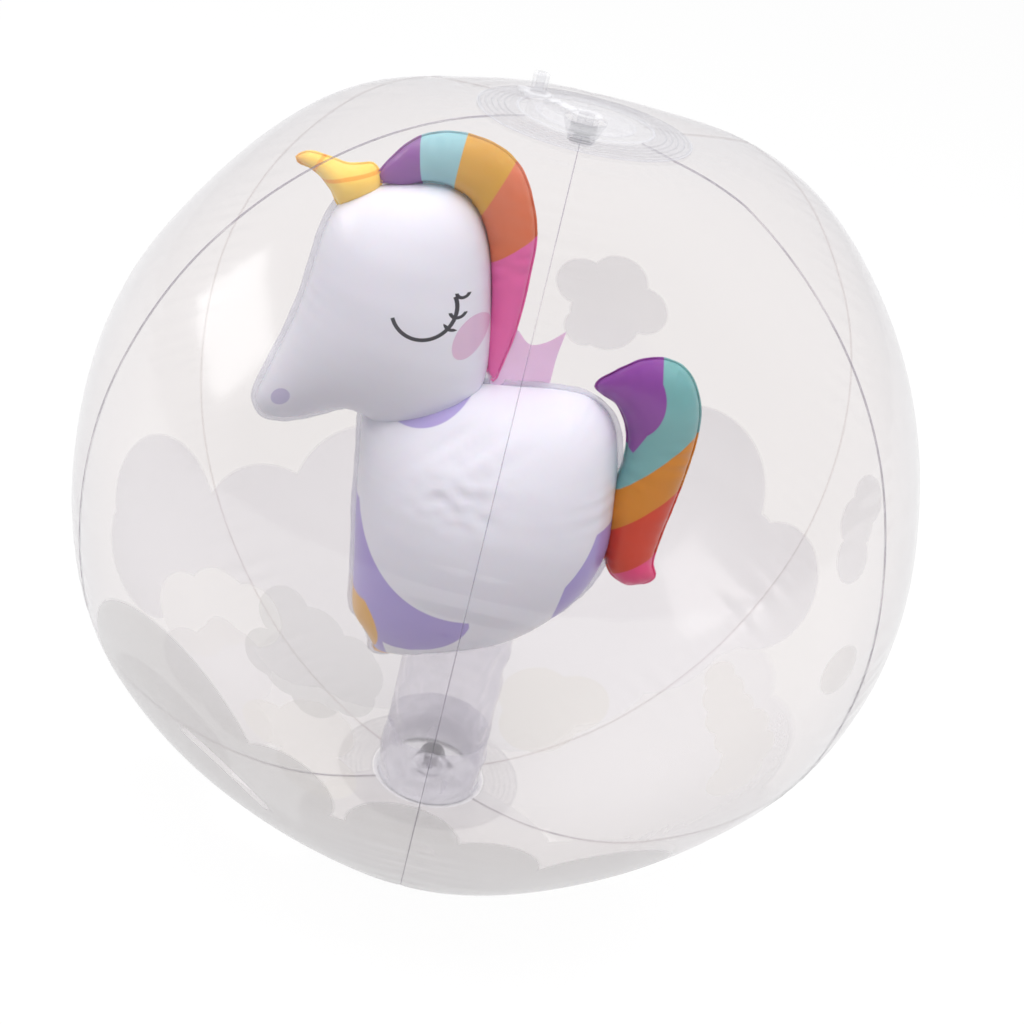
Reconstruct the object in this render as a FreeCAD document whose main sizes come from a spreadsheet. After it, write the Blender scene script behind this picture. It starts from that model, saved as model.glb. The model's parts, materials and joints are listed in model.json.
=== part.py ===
"""Clear inflatable beach ball with an inflatable unicorn standing inside it.

The outer ball is six film gores, welded edge to edge, with a round cap over each pole. Each cap
holds a soft push-in valve: the upper one fills the ball, the lower one fills the unicorn through the
pillar tube that it stands on. The unicorn is pairs of film panels welded along their outlines.
Millimetres, +Z up. The origin is on the ground, on the ball's axis, and the unicorn faces -X.
"""
import FreeCAD, Part
import Sketcher
import math
import os
import re

V = FreeCAD.Vector
UP = V(0, 0, 1)

SIZES = [
    ("gore_count", 6, "gores round the ball"),
    ("equator_radius", 176, "ball radius at the middle of a gore"),
    ("gore_arc_radius", 156, "radius of a gore's long curve, pole to pole"),
    ("gore_axis_offset", 12, "how far a gore's own axis stands out from the ball's axis"),
    ("film", 0.25, "thickness of the clear film"),
    ("weld_fin_depth", 1.6, "depth of the welded fin inside each seam"),
    ("cap_opening", 26, "radius of the opening in the gores under a cap"),
    ("cap_radius", 42, "radius of a polar cap"),
    ("cap_film", 0.4, "thickness of a polar cap"),
    ("cap_flat", 27, "radius of the cap's flat middle"),
    ("cap_flat_blend", 1, "width of the slope from the flat middle to the curved rim"),
    ("seat_gap", 0.3, "space between pieces that lie on each other"),
    ("weld_ring_count", 5, "embossed weld rings on a cap"),
    ("weld_ring_margin", 2, "plain film between the flat middle and the innermost weld ring"),
    ("weld_ring_width", 1.0, "width of a weld ring"),
    ("weld_ring_height", 0.3, "height of a weld ring"),
    ("valve_hole", 8.5, "radius of the hole in a cap"),
    ("flange_radius", 19, "radius of a valve's welded flange"),
    ("flange_thickness", 0.8, "thickness of a valve's flange"),
    ("web_depth", 7.7, "depth of the cone that a valve turns inside out on"),
    ("web_thickness", 0.7, "thickness of that cone"),
    ("web_gap", 0.05, "space between the cone and the stem"),
    ("stem_radius", 5.3, "outer radius of a valve stem"),
    ("bore_radius", 3.3, "radius of a valve's bore"),
    ("rim_radius", 6.2, "radius of the rim round a valve's mouth"),
    ("rim_thickness", 1.4, "thickness of that rim"),
    ("flap_radius", 4.6, "radius of the check flap"),
    ("flap_thickness", 0.5, "thickness of the check flap"),
    ("strap_reach", 24.8, "valve axis to plug axis along the strap, laid out flat"),
    ("strap_width", 5.5, "width of the strap"),
    ("strap_thickness", 1.0, "thickness of the strap"),
    ("strap_end_gap", 0.02, "space between a strap's end and what it is moulded to"),
    ("strap_azimuth", 145, "direction of the upper strap, from +X"),
    ("lower_strap_azimuth", 35, "direction of the lower strap, from +X"),
    ("plug_head_radius", 5.5, "radius of a plug's head"),
    ("plug_head_thickness", 1.5, "thickness of a plug's head"),
    ("plug_shank_gap", 0.05, "space between a plug's shank and the bore"),
    ("plug_shank_length", 8, "length of a plug's shank"),
    ("plug_shank_wall", 1.5, "wall of a plug's hollow shank"),
    ("plug_tip_chamfer", 0.7, "chamfer at a plug's tip"),
    ("plug_tab_length", 5, "length of the pull tab on a plug's head"),
    ("plug_tab_width", 5, "width of the pull tab"),
    ("plug_tab_thickness", 1.2, "thickness of the pull tab"),
    ("plug_tab_end_radius", 3, "radius of the pull tab's end"),
    ("dish_depth", 4.2, "depth of the lower cap's dish, which hides its valve"),
    ("dish_plate_radius", 19.5, "radius of the dish's flat plate"),
    ("dish_mouth_radius", 22, "radius of the dish where it meets the ground"),
    ("pillar_radius", 23.5, "outer radius of the pillar tube"),
    ("pillar_foot_radius", 25.6, "outer radius of the pillar's welded foot"),
    ("pillar_top", 92, "height where the pillar tube ends inside the unicorn's belly"),
    ("sleeve_height", 28, "height of the sleeve round the pillar's foot"),
    ("figure_film", 0.25, "thickness of the unicorn's film"),
    ("figure_height", 70, "height of the unicorn's own origin, under its belly"),
    ("figure_lean", 13.5, "forward lean of the unicorn"),
    ("air_port_radius", 16, "radius of the air port between the pillar and the belly"),
    ("horn_length", 27, "length of the horn"),
    ("horn_base_radius", 9, "radius of the horn at the forehead"),
    ("horn_middle_radius", 5.2, "radius of the horn half way up"),
    ("horn_tip_radius", 1.8, "radius of the horn's tip"),
    ("horn_root_x", -30, "place of the horn's root along the unicorn"),
    ("horn_root_z", 208.5, "height of the horn's root on the unicorn"),
    ("horn_angle", 26, "tilt of the horn above the forward direction"),
    ("flick_thickness", 0.5, "thickness of the flat end of the mane"),
]

# One row for each section of a chamber, front edge to back edge, in the unicorn's own frame:
# x and height of the front edge, x and height of the back edge, half width across, and how far
# back the widest place is, as a share of the section.
BODY_SECTIONS = [
    (-37, 0, -8, 1, 13, 0.5),
    (-41, 10, 28, 10, 27, 0.5),
    (-43, 24, 50, 24, 36, 0.5),
    (-43, 48, 64, 48, 42, 0.5),
    (-41, 76, 70, 76, 43, 0.5),
    (-39, 100, 71, 100, 37, 0.5),
    (-36, 117, 68, 117, 27, 0.5),
    (-25, 128, 57, 128, 13, 0.5),
]
HEAD_SECTIONS = [
    (-58, 110.5, -6, 107.5, 8, 0.6),
    (-79, 115, 8, 115, 18, 0.66),
    (-79, 126, 15, 126, 24, 0.68),
    (-69, 143, 18, 143, 28, 0.62),
    (-60, 160, 19, 160, 29, 0.55),
    (-54, 177, 19, 177, 27, 0.5),
    (-48, 193, 16, 193, 22, 0.5),
    (-38, 205, 8, 206, 14, 0.5),
    (-27, 210.5, -2, 211, 6, 0.5),
]
# The mane and the tail follow their own curves: outer edge, then inner edge.
MANE_SECTIONS = [
    (-21, 215, -22, 212, 2.5, 0.5),
    (-15, 224, -13, 208, 6, 0.5),
    (-3, 231, 0, 210, 8, 0.5),
    (13, 230, 7, 208, 8.5, 0.5),
    (27, 222, 13, 204, 8.5, 0.5),
    (35, 206, 17, 195, 8, 0.5),
    (36, 189, 19, 184, 7.5, 0.5),
    (34, 172, 19, 170, 7, 0.5),
    (30, 153, 18, 152, 6, 0.5),
    (24, 137, 15, 136, 4, 0.5),
    (19, 129, 16, 129, 2, 0.5),
]
TAIL_SECTIONS = [
    (63, 129, 61, 126, 2, 0.5),
    (71, 135, 68, 121, 6, 0.5),
    (83, 139, 72, 114, 9, 0.5),
    (98, 131, 74, 106, 10.5, 0.5),
    (103, 113, 73, 98, 11, 0.5),
    (101, 94, 71, 87, 10.5, 0.5),
    (94, 74, 68, 70, 9.5, 0.5),
    (88, 55, 65, 54, 8, 0.5),
    (83, 42, 66, 42, 6, 0.5),
    (77, 35, 70, 35, 3, 0.5),
]
SECTION_COLUMNS = ("front_x", "front_z", "back_x", "back_z", "half_width", "widest_share")
CHAMBERS = {
    "body": BODY_SECTIONS,
    "head": HEAD_SECTIONS,
    "mane": MANE_SECTIONS,
    "tail": TAIL_SECTIONS,
}
# Corners of the flat, pointed end of the mane, behind the neck.
FLICK_CORNERS = [(16, 132), (29, 152), (36, 142), (47, 149), (41, 126), (18, 126)]

# Derived heights, as expressions on the sheet.
CAP_SEAT = "(gore_arc_radius + seat_gap)"
CENTRE_HEIGHT = f"({CAP_SEAT} + cap_film)"
TOP_HEIGHT = f"(2 * {CENTRE_HEIGHT})"
ARC_CENTRE_X = "(equator_radius - gore_arc_radius)"
WELD_RING_PITCH = "((cap_radius - weld_ring_width - cap_flat - weld_ring_margin) / weld_ring_count)"
RIM_TOP = "(seat_gap + rim_thickness)"
WEB_ROOT_Z = "(-cap_film - flange_thickness / 2)"
FOOT_Z = f"({WEB_ROOT_Z} - web_depth)"
HALF_TURN = 180.0
# The band that a gore is cut from is turned this far, which is more than twice any gore's share of the
# ball, and it starts at this share of the opening under a cap.
BAND_TURN = 140.0
BAND_START = "(cap_opening / 3)"

doc = FreeCAD.newDocument("beach_ball")
sheet = doc.addObject("Spreadsheet::Sheet", "sizes")


def fill_sheet():
    """Writes every driving dimension to a cell with an alias."""
    row = 1
    for alias, number, meaning in SIZES:
        sheet.set(f"A{row}", meaning)
        sheet.set(f"B{row}", str(number))
        sheet.setAlias(f"B{row}", alias)
        row += 1
    for chamber, sections in CHAMBERS.items():
        for index, section in enumerate(sections, 1):
            sheet.set(f"A{row}", f"{chamber} section {index}")
            for column, name, number in zip("BCDEFG", SECTION_COLUMNS, section):
                sheet.set(f"{column}{row}", str(number))
                sheet.setAlias(f"{column}{row}", f"{chamber}_{index}_{name}")
            row += 1
    for index, corner in enumerate(FLICK_CORNERS, 1):
        sheet.set(f"A{row}", f"flick corner {index}")
        for column, name, number in zip("BC", ("x", "z"), corner):
            sheet.set(f"{column}{row}", str(number))
            sheet.setAlias(f"{column}{row}", f"flick_{index}_{name}")
        row += 1
    doc.recompute()


def bound(expression):
    """The expression with every alias written as a cell of the sheet."""
    return re.sub(r"\b([a-z]+(?:_[a-z0-9]+)+|film)\b", r"sizes.\1", str(expression))


def value(expression):
    """What an expression on the sheet comes to."""
    result = sheet.evalExpression(bound(expression))
    return float(getattr(result, "Value", result))


def draw(sketch, corners):
    """Draws a closed outline in a sketch. A corner is (x, y), or (x, y, bulge, radius) where an arc
    of that radius runs on to the next corner: bulge is 1 to its left and -1 to its right."""
    points = [V(value(c[0]), value(c[1]), 0) for c in corners]
    count = len(corners)
    ends = []
    for i, corner in enumerate(corners):
        here, there = points[i], points[(i + 1) % count]
        if len(corner) == 2:
            ends.append((sketch.addGeometry(Part.LineSegment(here, there), False), 1, 2))
            continue
        bulge, radius = corner[2], value(corner[3])
        chord = there - here
        left = V(-chord.y, chord.x, 0).normalize()
        sagitta = radius - math.sqrt(max(radius**2 - (chord.Length / 2) ** 2, 0))
        middle = (here + there) / 2 + left * (bulge * sagitta)
        arc = sketch.addGeometry(Part.Arc(here, middle, there), False)
        # An arc runs anticlockwise in a sketch, so its start is the corner it turns left from.
        first, last = (2, 1) if bulge > 0 else (1, 2)
        ends.append((arc, first, last))
        constraint = sketch.addConstraint(Sketcher.Constraint("Radius", arc, radius))
        sketch.setExpression(f"Constraints[{constraint}]", bound(corner[3]))
    for i, (edge, _, last) in enumerate(ends):
        following, first, _ = ends[(i + 1) % count]
        sketch.addConstraint(Sketcher.Constraint("Coincident", edge, last, following, first))
    for corner, point, (edge, first, _) in zip(corners, points, ends):
        for kind, text, number in (("DistanceX", corner[0], point.x), ("DistanceY", corner[1], point.y)):
            constraint = sketch.addConstraint(Sketcher.Constraint(kind, -1, 1, edge, first, number))
            sketch.setExpression(f"Constraints[{constraint}]", bound(text))


def new_body(name):
    body = doc.addObject("PartDesign::Body", name)
    body.Label = name
    return body


def sketch_in(body, name, role, corners):
    """A sketch on one of the body's own origin planes."""
    sketch = body.newObject("Sketcher::SketchObject", name)
    plane = [f for f in body.Origin.OriginFeatures if f.Role == role][0]
    sketch.AttachmentSupport = (plane, [""])
    sketch.MapMode = "FlatFace"
    doc.recompute()
    draw(sketch, corners)
    return sketch


def turned(name, corners):
    """A body turned about its Z axis from an outline of (radius, height) corners."""
    body = new_body(name)
    sketch = sketch_in(body, name + "_outline", "XZ_Plane", corners)
    turn = body.newObject("PartDesign::Revolution", name + "_turn")
    turn.Profile = sketch
    turn.ReferenceAxis = (sketch, ["V_Axis"])
    turn.Angle = 360
    doc.recompute()
    return body


def place(item, x="0", y="0", z="0", axis=UP, angle="0"):
    """Binds an object's placement to the sheet."""
    item.Placement = FreeCAD.Placement(V(value(x), value(y), value(z)), FreeCAD.Rotation(axis, value(angle)))
    for coordinate, text in (("x", x), ("y", y), ("z", z)):
        item.setExpression(f"Placement.Base.{coordinate}", bound(text))
    if angle != "0":
        item.setExpression("Placement.Rotation.Angle", bound(f"({angle}) * 1 deg"))
    return item


def standing_sketch(name, corners):
    """A free sketch in the plane of X and Z."""
    sketch = doc.addObject("Sketcher::SketchObject", name)
    sketch.Placement = FreeCAD.Placement(V(), FreeCAD.Rotation(V(1, 0, 0), 90))
    draw(sketch, corners)
    return sketch


def band_of_gore(name, depth):
    """The gore's curve turned about the gore's own axis, as a band of this depth under the surface."""
    end_x = f"(gore_axis_offset + {BAND_START})"
    inner = f"(gore_arc_radius - {depth})"

    def height(radius):
        return f"sqrt(({radius})^2 - ({end_x} - {ARC_CENTRE_X})^2)"

    sketch = standing_sketch(
        name + "_outline",
        [
            (end_x, height("gore_arc_radius"), 1, "gore_arc_radius"),
            ("equator_radius", "0", 1, "gore_arc_radius"),
            (end_x, f"-{height('gore_arc_radius')}"),
            (end_x, f"-{height(inner)}", -1, inner),
            (f"(equator_radius - {depth})", "0", -1, inner),
            (end_x, height(inner)),
        ],
    )
    band = doc.addObject("Part::Revolution", name)
    band.Source = sketch
    band.Axis = UP
    band.Angle = BAND_TURN
    band.Symmetric = True
    band.Solid = True
    band.setExpression("Base.x", bound("gore_axis_offset * 1 mm"))
    return band


def boolean(kind, name, first, second):
    made = doc.addObject("Part::" + kind, name)
    if kind in ("Cut", "Common"):
        made.Base, made.Tool = first, second
    else:
        made.Shapes = [first, second]
    return made


def make_gores():
    """Six film gores. Each is a thin curved skin with a welded fin along both edges."""
    skin = band_of_gore("gore_skin", "film")
    deep = band_of_gore("gore_fin_band", "weld_fin_depth")
    half_angle = "(180 / gore_count)"
    slabs = []
    for side, start in (("left", "-film"), ("right", "0")):
        slab = doc.addObject("Part::Box", f"seam_slab_{side}")
        slab.setExpression("Length", bound("equator_radius + weld_fin_depth"))
        slab.setExpression("Width", bound("film"))
        slab.setExpression("Height", bound("2 * equator_radius"))
        sign = 1 if side == "left" else -1
        turn = f"{sign} * {half_angle}"
        # The slab lies just inside its seam plane, which passes through the ball's axis.
        place(
            slab,
            x=f"-({start}) * sin({turn} * 1 deg)",
            y=f"({start}) * cos({turn} * 1 deg)",
            z="-equator_radius",
            angle=turn if sign > 0 else "0",
        )
        if sign < 0:
            slab.setExpression("Placement.Rotation.Angle", bound(f"(360 + {turn}) * 1 deg"))
        slabs.append(slab)
    fins = boolean("Common", "gore_fins", deep, boolean("MultiFuse", "seam_slabs", *slabs))
    sector = doc.addObject("Part::Cylinder", "gore_sector")
    sector.setExpression("Radius", bound("equator_radius + weld_fin_depth"))
    sector.setExpression("Height", bound("2 * equator_radius"))
    sector.setExpression("Angle", bound(f"2 * {half_angle} * 1 deg"))
    place(sector, z="-equator_radius")
    sector.setExpression("Placement.Rotation.Angle", bound(f"(360 - {half_angle}) * 1 deg"))
    opening = doc.addObject("Part::Cylinder", "pole_opening")
    opening.setExpression("Radius", bound("cap_opening"))
    opening.setExpression("Height", bound("2 * equator_radius"))
    place(opening, z="-equator_radius")
    room = boolean("Cut", "gore_room", sector, opening)
    pattern = boolean("Common", "gore_pattern", boolean("MultiFuse", "gore_with_fins", skin, fins), room)
    doc.recompute()
    count = int(value("gore_count"))
    gores = []
    for index in range(count):
        gore = doc.addObject("Part::Feature", f"gore_{index + 1}")
        gore.Shape = pattern.Shape
        turn = -90 + (index + 0.5) * 360 / count
        gore.Placement = FreeCAD.Placement(V(0, 0, value(CENTRE_HEIGHT)), FreeCAD.Rotation(UP, turn))
        gores.append(gore)
    return gores


def cap_height(radius, level):
    """Height above the ball's centre of a surface that follows the gores at this level over the pole."""
    return f"sqrt(({level})^2 - (({radius}) - {ARC_CENTRE_X})^2)"


def cap_outline(inner_corners):
    """Outline of a polar cap, from its outer edge, over the weld rings, to the given corners.

    Both of its faces are flat in the middle, and follow the gores from there on.
    """
    outer = f"({CAP_SEAT} + cap_film)"
    raised = f"({outer} + weld_ring_height)"
    curve_start = "(cap_flat + cap_flat_blend)"
    corners = [("cap_radius", cap_height("cap_radius", CAP_SEAT)), ("cap_radius", cap_height("cap_radius", outer))]
    for ring in range(int(value("weld_ring_count"))):
        crest = f"(cap_radius - weld_ring_width - {ring} * {WELD_RING_PITCH})"
        for share, level in ((0.5, outer), (0.25, raised), (-0.25, raised), (-0.5, outer)):
            radius = f"({crest} + {share} * weld_ring_width)"
            corners.append((radius, cap_height(radius, level)))
    corners += [(curve_start, cap_height(curve_start, outer)), ("cap_flat", outer)]
    corners += inner_corners
    return corners + [("cap_flat", CAP_SEAT), (curve_start, cap_height(curve_start, CAP_SEAT), 1, CAP_SEAT)]


def make_caps():
    """The two polar caps. The lower one has a dish that hides its valve, and the ball rests on it."""
    outer = f"({CAP_SEAT} + cap_film)"
    upper = turned("top_cap", cap_outline([("valve_hole", outer), ("valve_hole", CAP_SEAT)]))
    place(upper, z=CENTRE_HEIGHT)
    plate = f"({outer} - dish_depth)"
    lower = turned(
        "bottom_cap",
        cap_outline(
            [
                ("dish_mouth_radius", outer),
                ("dish_plate_radius", plate),
                ("valve_hole", plate),
                ("valve_hole", f"({plate} - cap_film)"),
                ("(dish_plate_radius + cap_film)", f"({plate} - cap_film)"),
                ("(dish_mouth_radius + cap_film)", CAP_SEAT),
            ]
        ),
    )
    place(lower, z=CENTRE_HEIGHT, axis=V(1, 0, 0), angle="180")
    return [upper, lower]


def plug_profile():
    """Outline of a plug standing on its head, shank up."""
    shank = "(bore_radius - plug_shank_gap)"
    top = "(plug_head_thickness + plug_shank_length)"
    return [
        ("0", "0"),
        ("plug_head_radius", "0"),
        ("plug_head_radius", "plug_head_thickness"),
        (shank, "plug_head_thickness"),
        (shank, f"({top} - plug_tip_chamfer)"),
        (f"({shank} - plug_tip_chamfer)", top),
        (f"({shank} - plug_shank_wall)", top),
        (f"({shank} - plug_shank_wall)", "(2 * plug_head_thickness)"),
        ("0", "(2 * plug_head_thickness)"),
    ]


def make_plug(name):
    """A plug: round head, hollow shank and a pull tab on the side away from the strap."""
    plug = turned(name, plug_profile())
    half = "(plug_tab_width / 2)"
    reach = "(plug_head_radius + plug_tab_length)"
    tab = sketch_in(
        plug,
        name + "_tab_outline",
        "XY_Plane",
        [
            ("0", f"-{half}"),
            (f"({reach} - {half})", f"-{half}", -1, "plug_tab_end_radius"),
            (f"({reach} - {half})", half),
            ("0", half),
        ],
    )
    pad = plug.newObject("PartDesign::Pad", name + "_tab")
    pad.Profile = tab
    pad.setExpression("Length", bound("plug_tab_thickness"))
    doc.recompute()
    return plug


def strap_free_length():
    return "(strap_reach - rim_radius - plug_head_radius)"


def make_flat_strap(name):
    """The upper strap as moulded: a flat strip between the rim and the open plug's head."""
    half = "(strap_width / 2)"
    rim = "(rim_radius + strap_end_gap)"
    head = "(plug_head_radius + strap_end_gap)"
    rim_x = f"sqrt({rim}^2 - {half}^2)"
    head_x = f"(strap_reach - sqrt({head}^2 - {half}^2))"
    strap = new_body(name)
    outline = sketch_in(
        strap,
        name + "_outline",
        "XY_Plane",
        [(rim_x, f"-{half}"), (head_x, f"-{half}", 1, head), (head_x, half), (rim_x, half, 1, rim)],
    )
    pad = strap.newObject("PartDesign::Pad", name + "_strip")
    pad.Profile = outline
    pad.setExpression("Length", bound("strap_thickness"))
    doc.recompute()
    return strap


def make_folded_strap(name):
    """The lower strap, folded back on itself in a hairpin, because its plug is in."""
    low = "(seat_gap + (rim_thickness - strap_thickness) / 2)"
    high = f"({RIM_TOP} + seat_gap + (plug_head_thickness - strap_thickness) / 2)"
    bend = f"(({high} - {low}) / 2)"
    inner_bend = f"({bend} - strap_thickness / 2)"
    outer_bend = f"({bend} + strap_thickness / 2)"
    middle = f"(({low} + {high} + strap_thickness) / 2)"
    leg = f"(({strap_free_length()} - 3.1416 * {bend}) / 2)"
    end = f"(rim_radius + {leg})"
    rim = "(rim_radius + strap_end_gap)"
    head = "(plug_head_radius + strap_end_gap)"
    strap = new_body(name)
    outline = sketch_in(
        strap,
        name + "_outline",
        "XZ_Plane",
        [
            (rim, low),
            (end, low, -1, outer_bend),
            (f"({end} + {outer_bend})", middle, -1, outer_bend),
            (end, f"({high} + strap_thickness)"),
            (head, f"({high} + strap_thickness)"),
            (head, high),
            (end, high, 1, inner_bend),
            (f"({end} + {inner_bend})", middle, 1, inner_bend),
            (end, f"({low} + strap_thickness)"),
            (rim, f"({low} + strap_thickness)"),
        ],
    )
    pad = strap.newObject("PartDesign::Pad", name + "_strip")
    pad.Profile = outline
    pad.SideType = "Symmetric"
    pad.setExpression("Length", bound("strap_width"))
    doc.recompute()
    return strap


def make_valve(prefix):
    """A push-in valve's pieces round their own axis, outward up, from the cap's outer face."""
    below = "(-cap_film)"
    flange = turned(
        prefix + "_valve_flange",
        [
            ("valve_hole", f"({below} - flange_thickness)"),
            ("flange_radius", f"({below} - flange_thickness)"),
            ("flange_radius", below),
            ("valve_hole", below),
        ],
    )
    inner = "(stem_radius + web_gap)"
    half = "(web_thickness / 2)"
    web = turned(
        prefix + "_valve_web",
        [
            (inner, f"({FOOT_Z} - {half})"),
            ("valve_hole", f"({WEB_ROOT_Z} - {half})"),
            ("valve_hole", f"({WEB_ROOT_Z} + {half})"),
            (inner, f"({FOOT_Z} + {half})"),
        ],
    )
    foot = f"({FOOT_Z} - {half})"
    stem = turned(
        prefix + "_valve_stem",
        [
            ("bore_radius", foot),
            ("stem_radius", foot),
            ("stem_radius", "seat_gap"),
            ("rim_radius", "seat_gap"),
            ("rim_radius", RIM_TOP),
            ("bore_radius", RIM_TOP),
        ],
    )
    flap_top = f"({foot} - seat_gap)"
    flap = turned(
        prefix + "_valve_flap",
        [
            ("0", f"({flap_top} - flap_thickness)"),
            ("flap_radius", f"({flap_top} - flap_thickness)"),
            ("flap_radius", flap_top),
            ("0", flap_top),
        ],
    )
    return [flange, web, stem, flap]


def make_top_valve():
    """The upper valve, pushed in, with its plug out and lying on the cap at the end of its strap."""
    pieces = make_valve("top")
    for piece in pieces:
        place(piece, z=TOP_HEIGHT)
    strap = make_flat_strap("top_valve_strap")
    place(strap, z=f"{TOP_HEIGHT} + seat_gap + (rim_thickness - strap_thickness) / 2", angle="strap_azimuth")
    plug = make_plug("top_valve_plug")
    place(
        plug,
        x="strap_reach * cos(strap_azimuth * 1 deg)",
        y="strap_reach * sin(strap_azimuth * 1 deg)",
        z=f"{TOP_HEIGHT} + seat_gap",
        angle="strap_azimuth",
    )
    return pieces + [strap, plug]


def turned_over(azimuth):
    """The turn that points a valve downwards, with its strap at this azimuth."""
    return FreeCAD.Rotation(UP, value(azimuth)) * FreeCAD.Rotation(V(1, 0, 0), HALF_TURN)


def make_bottom_valve():
    """The lower valve, pushed in and plugged, inside the lower cap's dish."""
    pieces = make_valve("bottom")
    pieces.append(make_folded_strap("bottom_valve_strap"))
    for piece in pieces:
        piece.Placement = FreeCAD.Placement(V(0, 0, value("dish_depth")), turned_over("lower_strap_azimuth"))
    plug = make_plug("bottom_valve_plug")
    head_face = value(f"dish_depth - {RIM_TOP} - seat_gap - plug_head_thickness")
    spin = FreeCAD.Rotation(UP, value("lower_strap_azimuth") + HALF_TURN)
    plug.Placement = FreeCAD.Placement(V(0, 0, head_face), spin)
    return pieces + [plug]


def make_pillar():
    """The clear pillar tube that carries the unicorn and feeds it air, with the sleeve at its foot."""
    base = "cap_film"
    inner = "(pillar_radius - figure_film)"
    tube = turned(
        "pillar_tube",
        [
            (inner, base),
            ("pillar_foot_radius", base),
            ("pillar_foot_radius", f"({base} + figure_film)"),
            ("pillar_radius", f"({base} + figure_film)"),
            ("pillar_radius", "pillar_top"),
            (inner, "pillar_top"),
        ],
    )
    sleeve_inner = "(pillar_radius + seat_gap)"
    bottom = f"({base} + figure_film + seat_gap)"
    sleeve = turned(
        "pillar_sleeve",
        [
            (sleeve_inner, bottom),
            (f"({sleeve_inner} + figure_film)", bottom),
            (f"({sleeve_inner} + figure_film)", "sleeve_height"),
            (sleeve_inner, "sleeve_height"),
        ],
    )
    return tube, sleeve


def section_wire(front, back, half_width, share):
    """One closed section: two arcs on each side, level at the widest place, meeting at the two edges."""
    along = back - front
    length = along.Length
    along.normalize()
    widest = front + along * (length * share)
    edges = []

    def corner(start, end, reach, side):
        """The arc between an edge of the section and its widest place."""
        radius = (reach**2 + half_width**2) / (2 * half_width)
        side_way = V(0, side, 0)
        centre = widest + side_way * (half_width - radius)
        middle = ((start - centre) + (end - centre)).normalize() * radius + centre
        return Part.Arc(start, middle, end).toShape()

    for side in (-1, 1):
        crest = widest + V(0, side * half_width, 0)
        pair = [
            corner(front, crest, length * share, side),
            corner(crest, back, length * (1 - share), side),
        ]
        edges += pair if side < 0 else pair[::-1]
    return Part.Wire(Part.__sortEdges__(edges))


def chamber_sections(name):
    """The sections of a chamber, read from the sheet."""
    rows = []
    for index in range(1, len(CHAMBERS[name]) + 1):
        numbers = {c: value(f"{name}_{index}_{c}") for c in SECTION_COLUMNS}
        front = V(numbers["front_x"], 0, numbers["front_z"])
        back = V(numbers["back_x"], 0, numbers["back_z"])
        rows.append((front, back, numbers["half_width"], numbers["widest_share"]))
    return rows


def chamber(name, inset=0.0):
    """A chamber as one solid, drawn in by inset all round."""
    rows = chamber_sections(name)
    middles = [(front + back) / 2 for front, back, _, _ in rows]
    wires = []
    for i, (front, back, half_width, share) in enumerate(rows):
        along = (back - front).normalize()
        shift = V()
        if i == 0:
            shift = (middles[1] - middles[0]).normalize() * inset
        elif i == len(rows) - 1:
            shift = (middles[-2] - middles[-1]).normalize() * inset
        start, end = front + along * inset + shift, back - along * inset + shift
        wires.append(section_wire(start, end, half_width - inset, share))
    return Part.makeLoft(wires, True, False)


def horn_solid(inset=0.0):
    """The horn, a slim cone with a hollow curve to its sides."""
    angle = math.radians(value("horn_angle"))
    way = V(-math.cos(angle), 0, math.sin(angle))
    root = V(value("horn_root_x"), 0, value("horn_root_z"))
    length = value("horn_length")
    rings = []
    for share, alias in ((0, "horn_base_radius"), (0.5, "horn_middle_radius"), (1, "horn_tip_radius")):
        reach = length * share + inset * (1 - 2 * share)
        circle = Part.Circle(root + way * reach, way, value(alias) - inset)
        rings.append(Part.Wire(circle.toShape()))
    return Part.makeLoft(rings, True, False)


def figure_placement():
    """Where the unicorn's own frame stands in the ball."""
    lean = FreeCAD.Rotation(V(0, 1, 0), -value("figure_lean"))
    return FreeCAD.Placement(V(0, 0, value("figure_height")), lean)


def add_piece(name, shape):
    piece = doc.addObject("Part::Feature", name)
    piece.Shape = shape
    return piece


def half_space(side):
    """Everything on one side of the unicorn's middle plane."""
    reach = 4 * value("equator_radius")
    box = Part.makeBox(reach, reach, reach)
    box.translate(V(-reach / 2, 0 if side > 0 else -reach, -reach / 2))
    return box


def add_panels(name, hollow):
    """The two welded panels of a chamber, split at the middle plane. Its left faces -Y."""
    panels = []
    for label, side in (("left", -1), ("right", 1)):
        half = hollow.common(half_space(side))
        panel = add_piece(f"{name}_{label}_panel", half)
        panel.Placement = figure_placement()
        panels.append(panel)
    return panels


def make_figure():
    """The unicorn: body, head, horn, mane and tail, each two panels, and the mane's flat end."""
    film = value("figure_film")
    full = {name: chamber(name) for name in CHAMBERS}
    full["horn"] = horn_solid()
    room = {name: chamber(name, film) for name in CHAMBERS}
    room["horn"] = horn_solid(film)
    port = Part.makeCylinder(value("air_port_radius"), value("pillar_top"))
    port.Placement = figure_placement().inverse()
    before = {
        "body": [],
        "head": ["body"],
        "horn": ["head"],
        "mane": ["head", "horn", "body"],
        "tail": ["body"],
    }
    pieces = []
    for name, others in before.items():
        hollow = full[name].cut(room[name])
        for other in others:
            hollow = hollow.cut(full[other])
        if name == "body":
            hollow = hollow.cut(port)
        pieces += add_panels(name, hollow)
    corners = [V(value(f"flick_{i}_x"), 0, value(f"flick_{i}_z")) for i in range(1, len(FLICK_CORNERS) + 1)]
    thick = value("flick_thickness")
    flick = Part.Face(Part.makePolygon(corners + corners[:1])).extrude(V(0, thick, 0))
    for other in ("mane", "body", "head"):
        flick = flick.cut(full[other])
    largest = max(flick.Solids, key=lambda solid: solid.Volume)
    tip = add_piece("mane_flick", largest)
    tip.Placement = figure_placement()
    belly = full["body"].copy()
    belly.Placement = figure_placement()
    return pieces + [tip], belly


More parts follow.
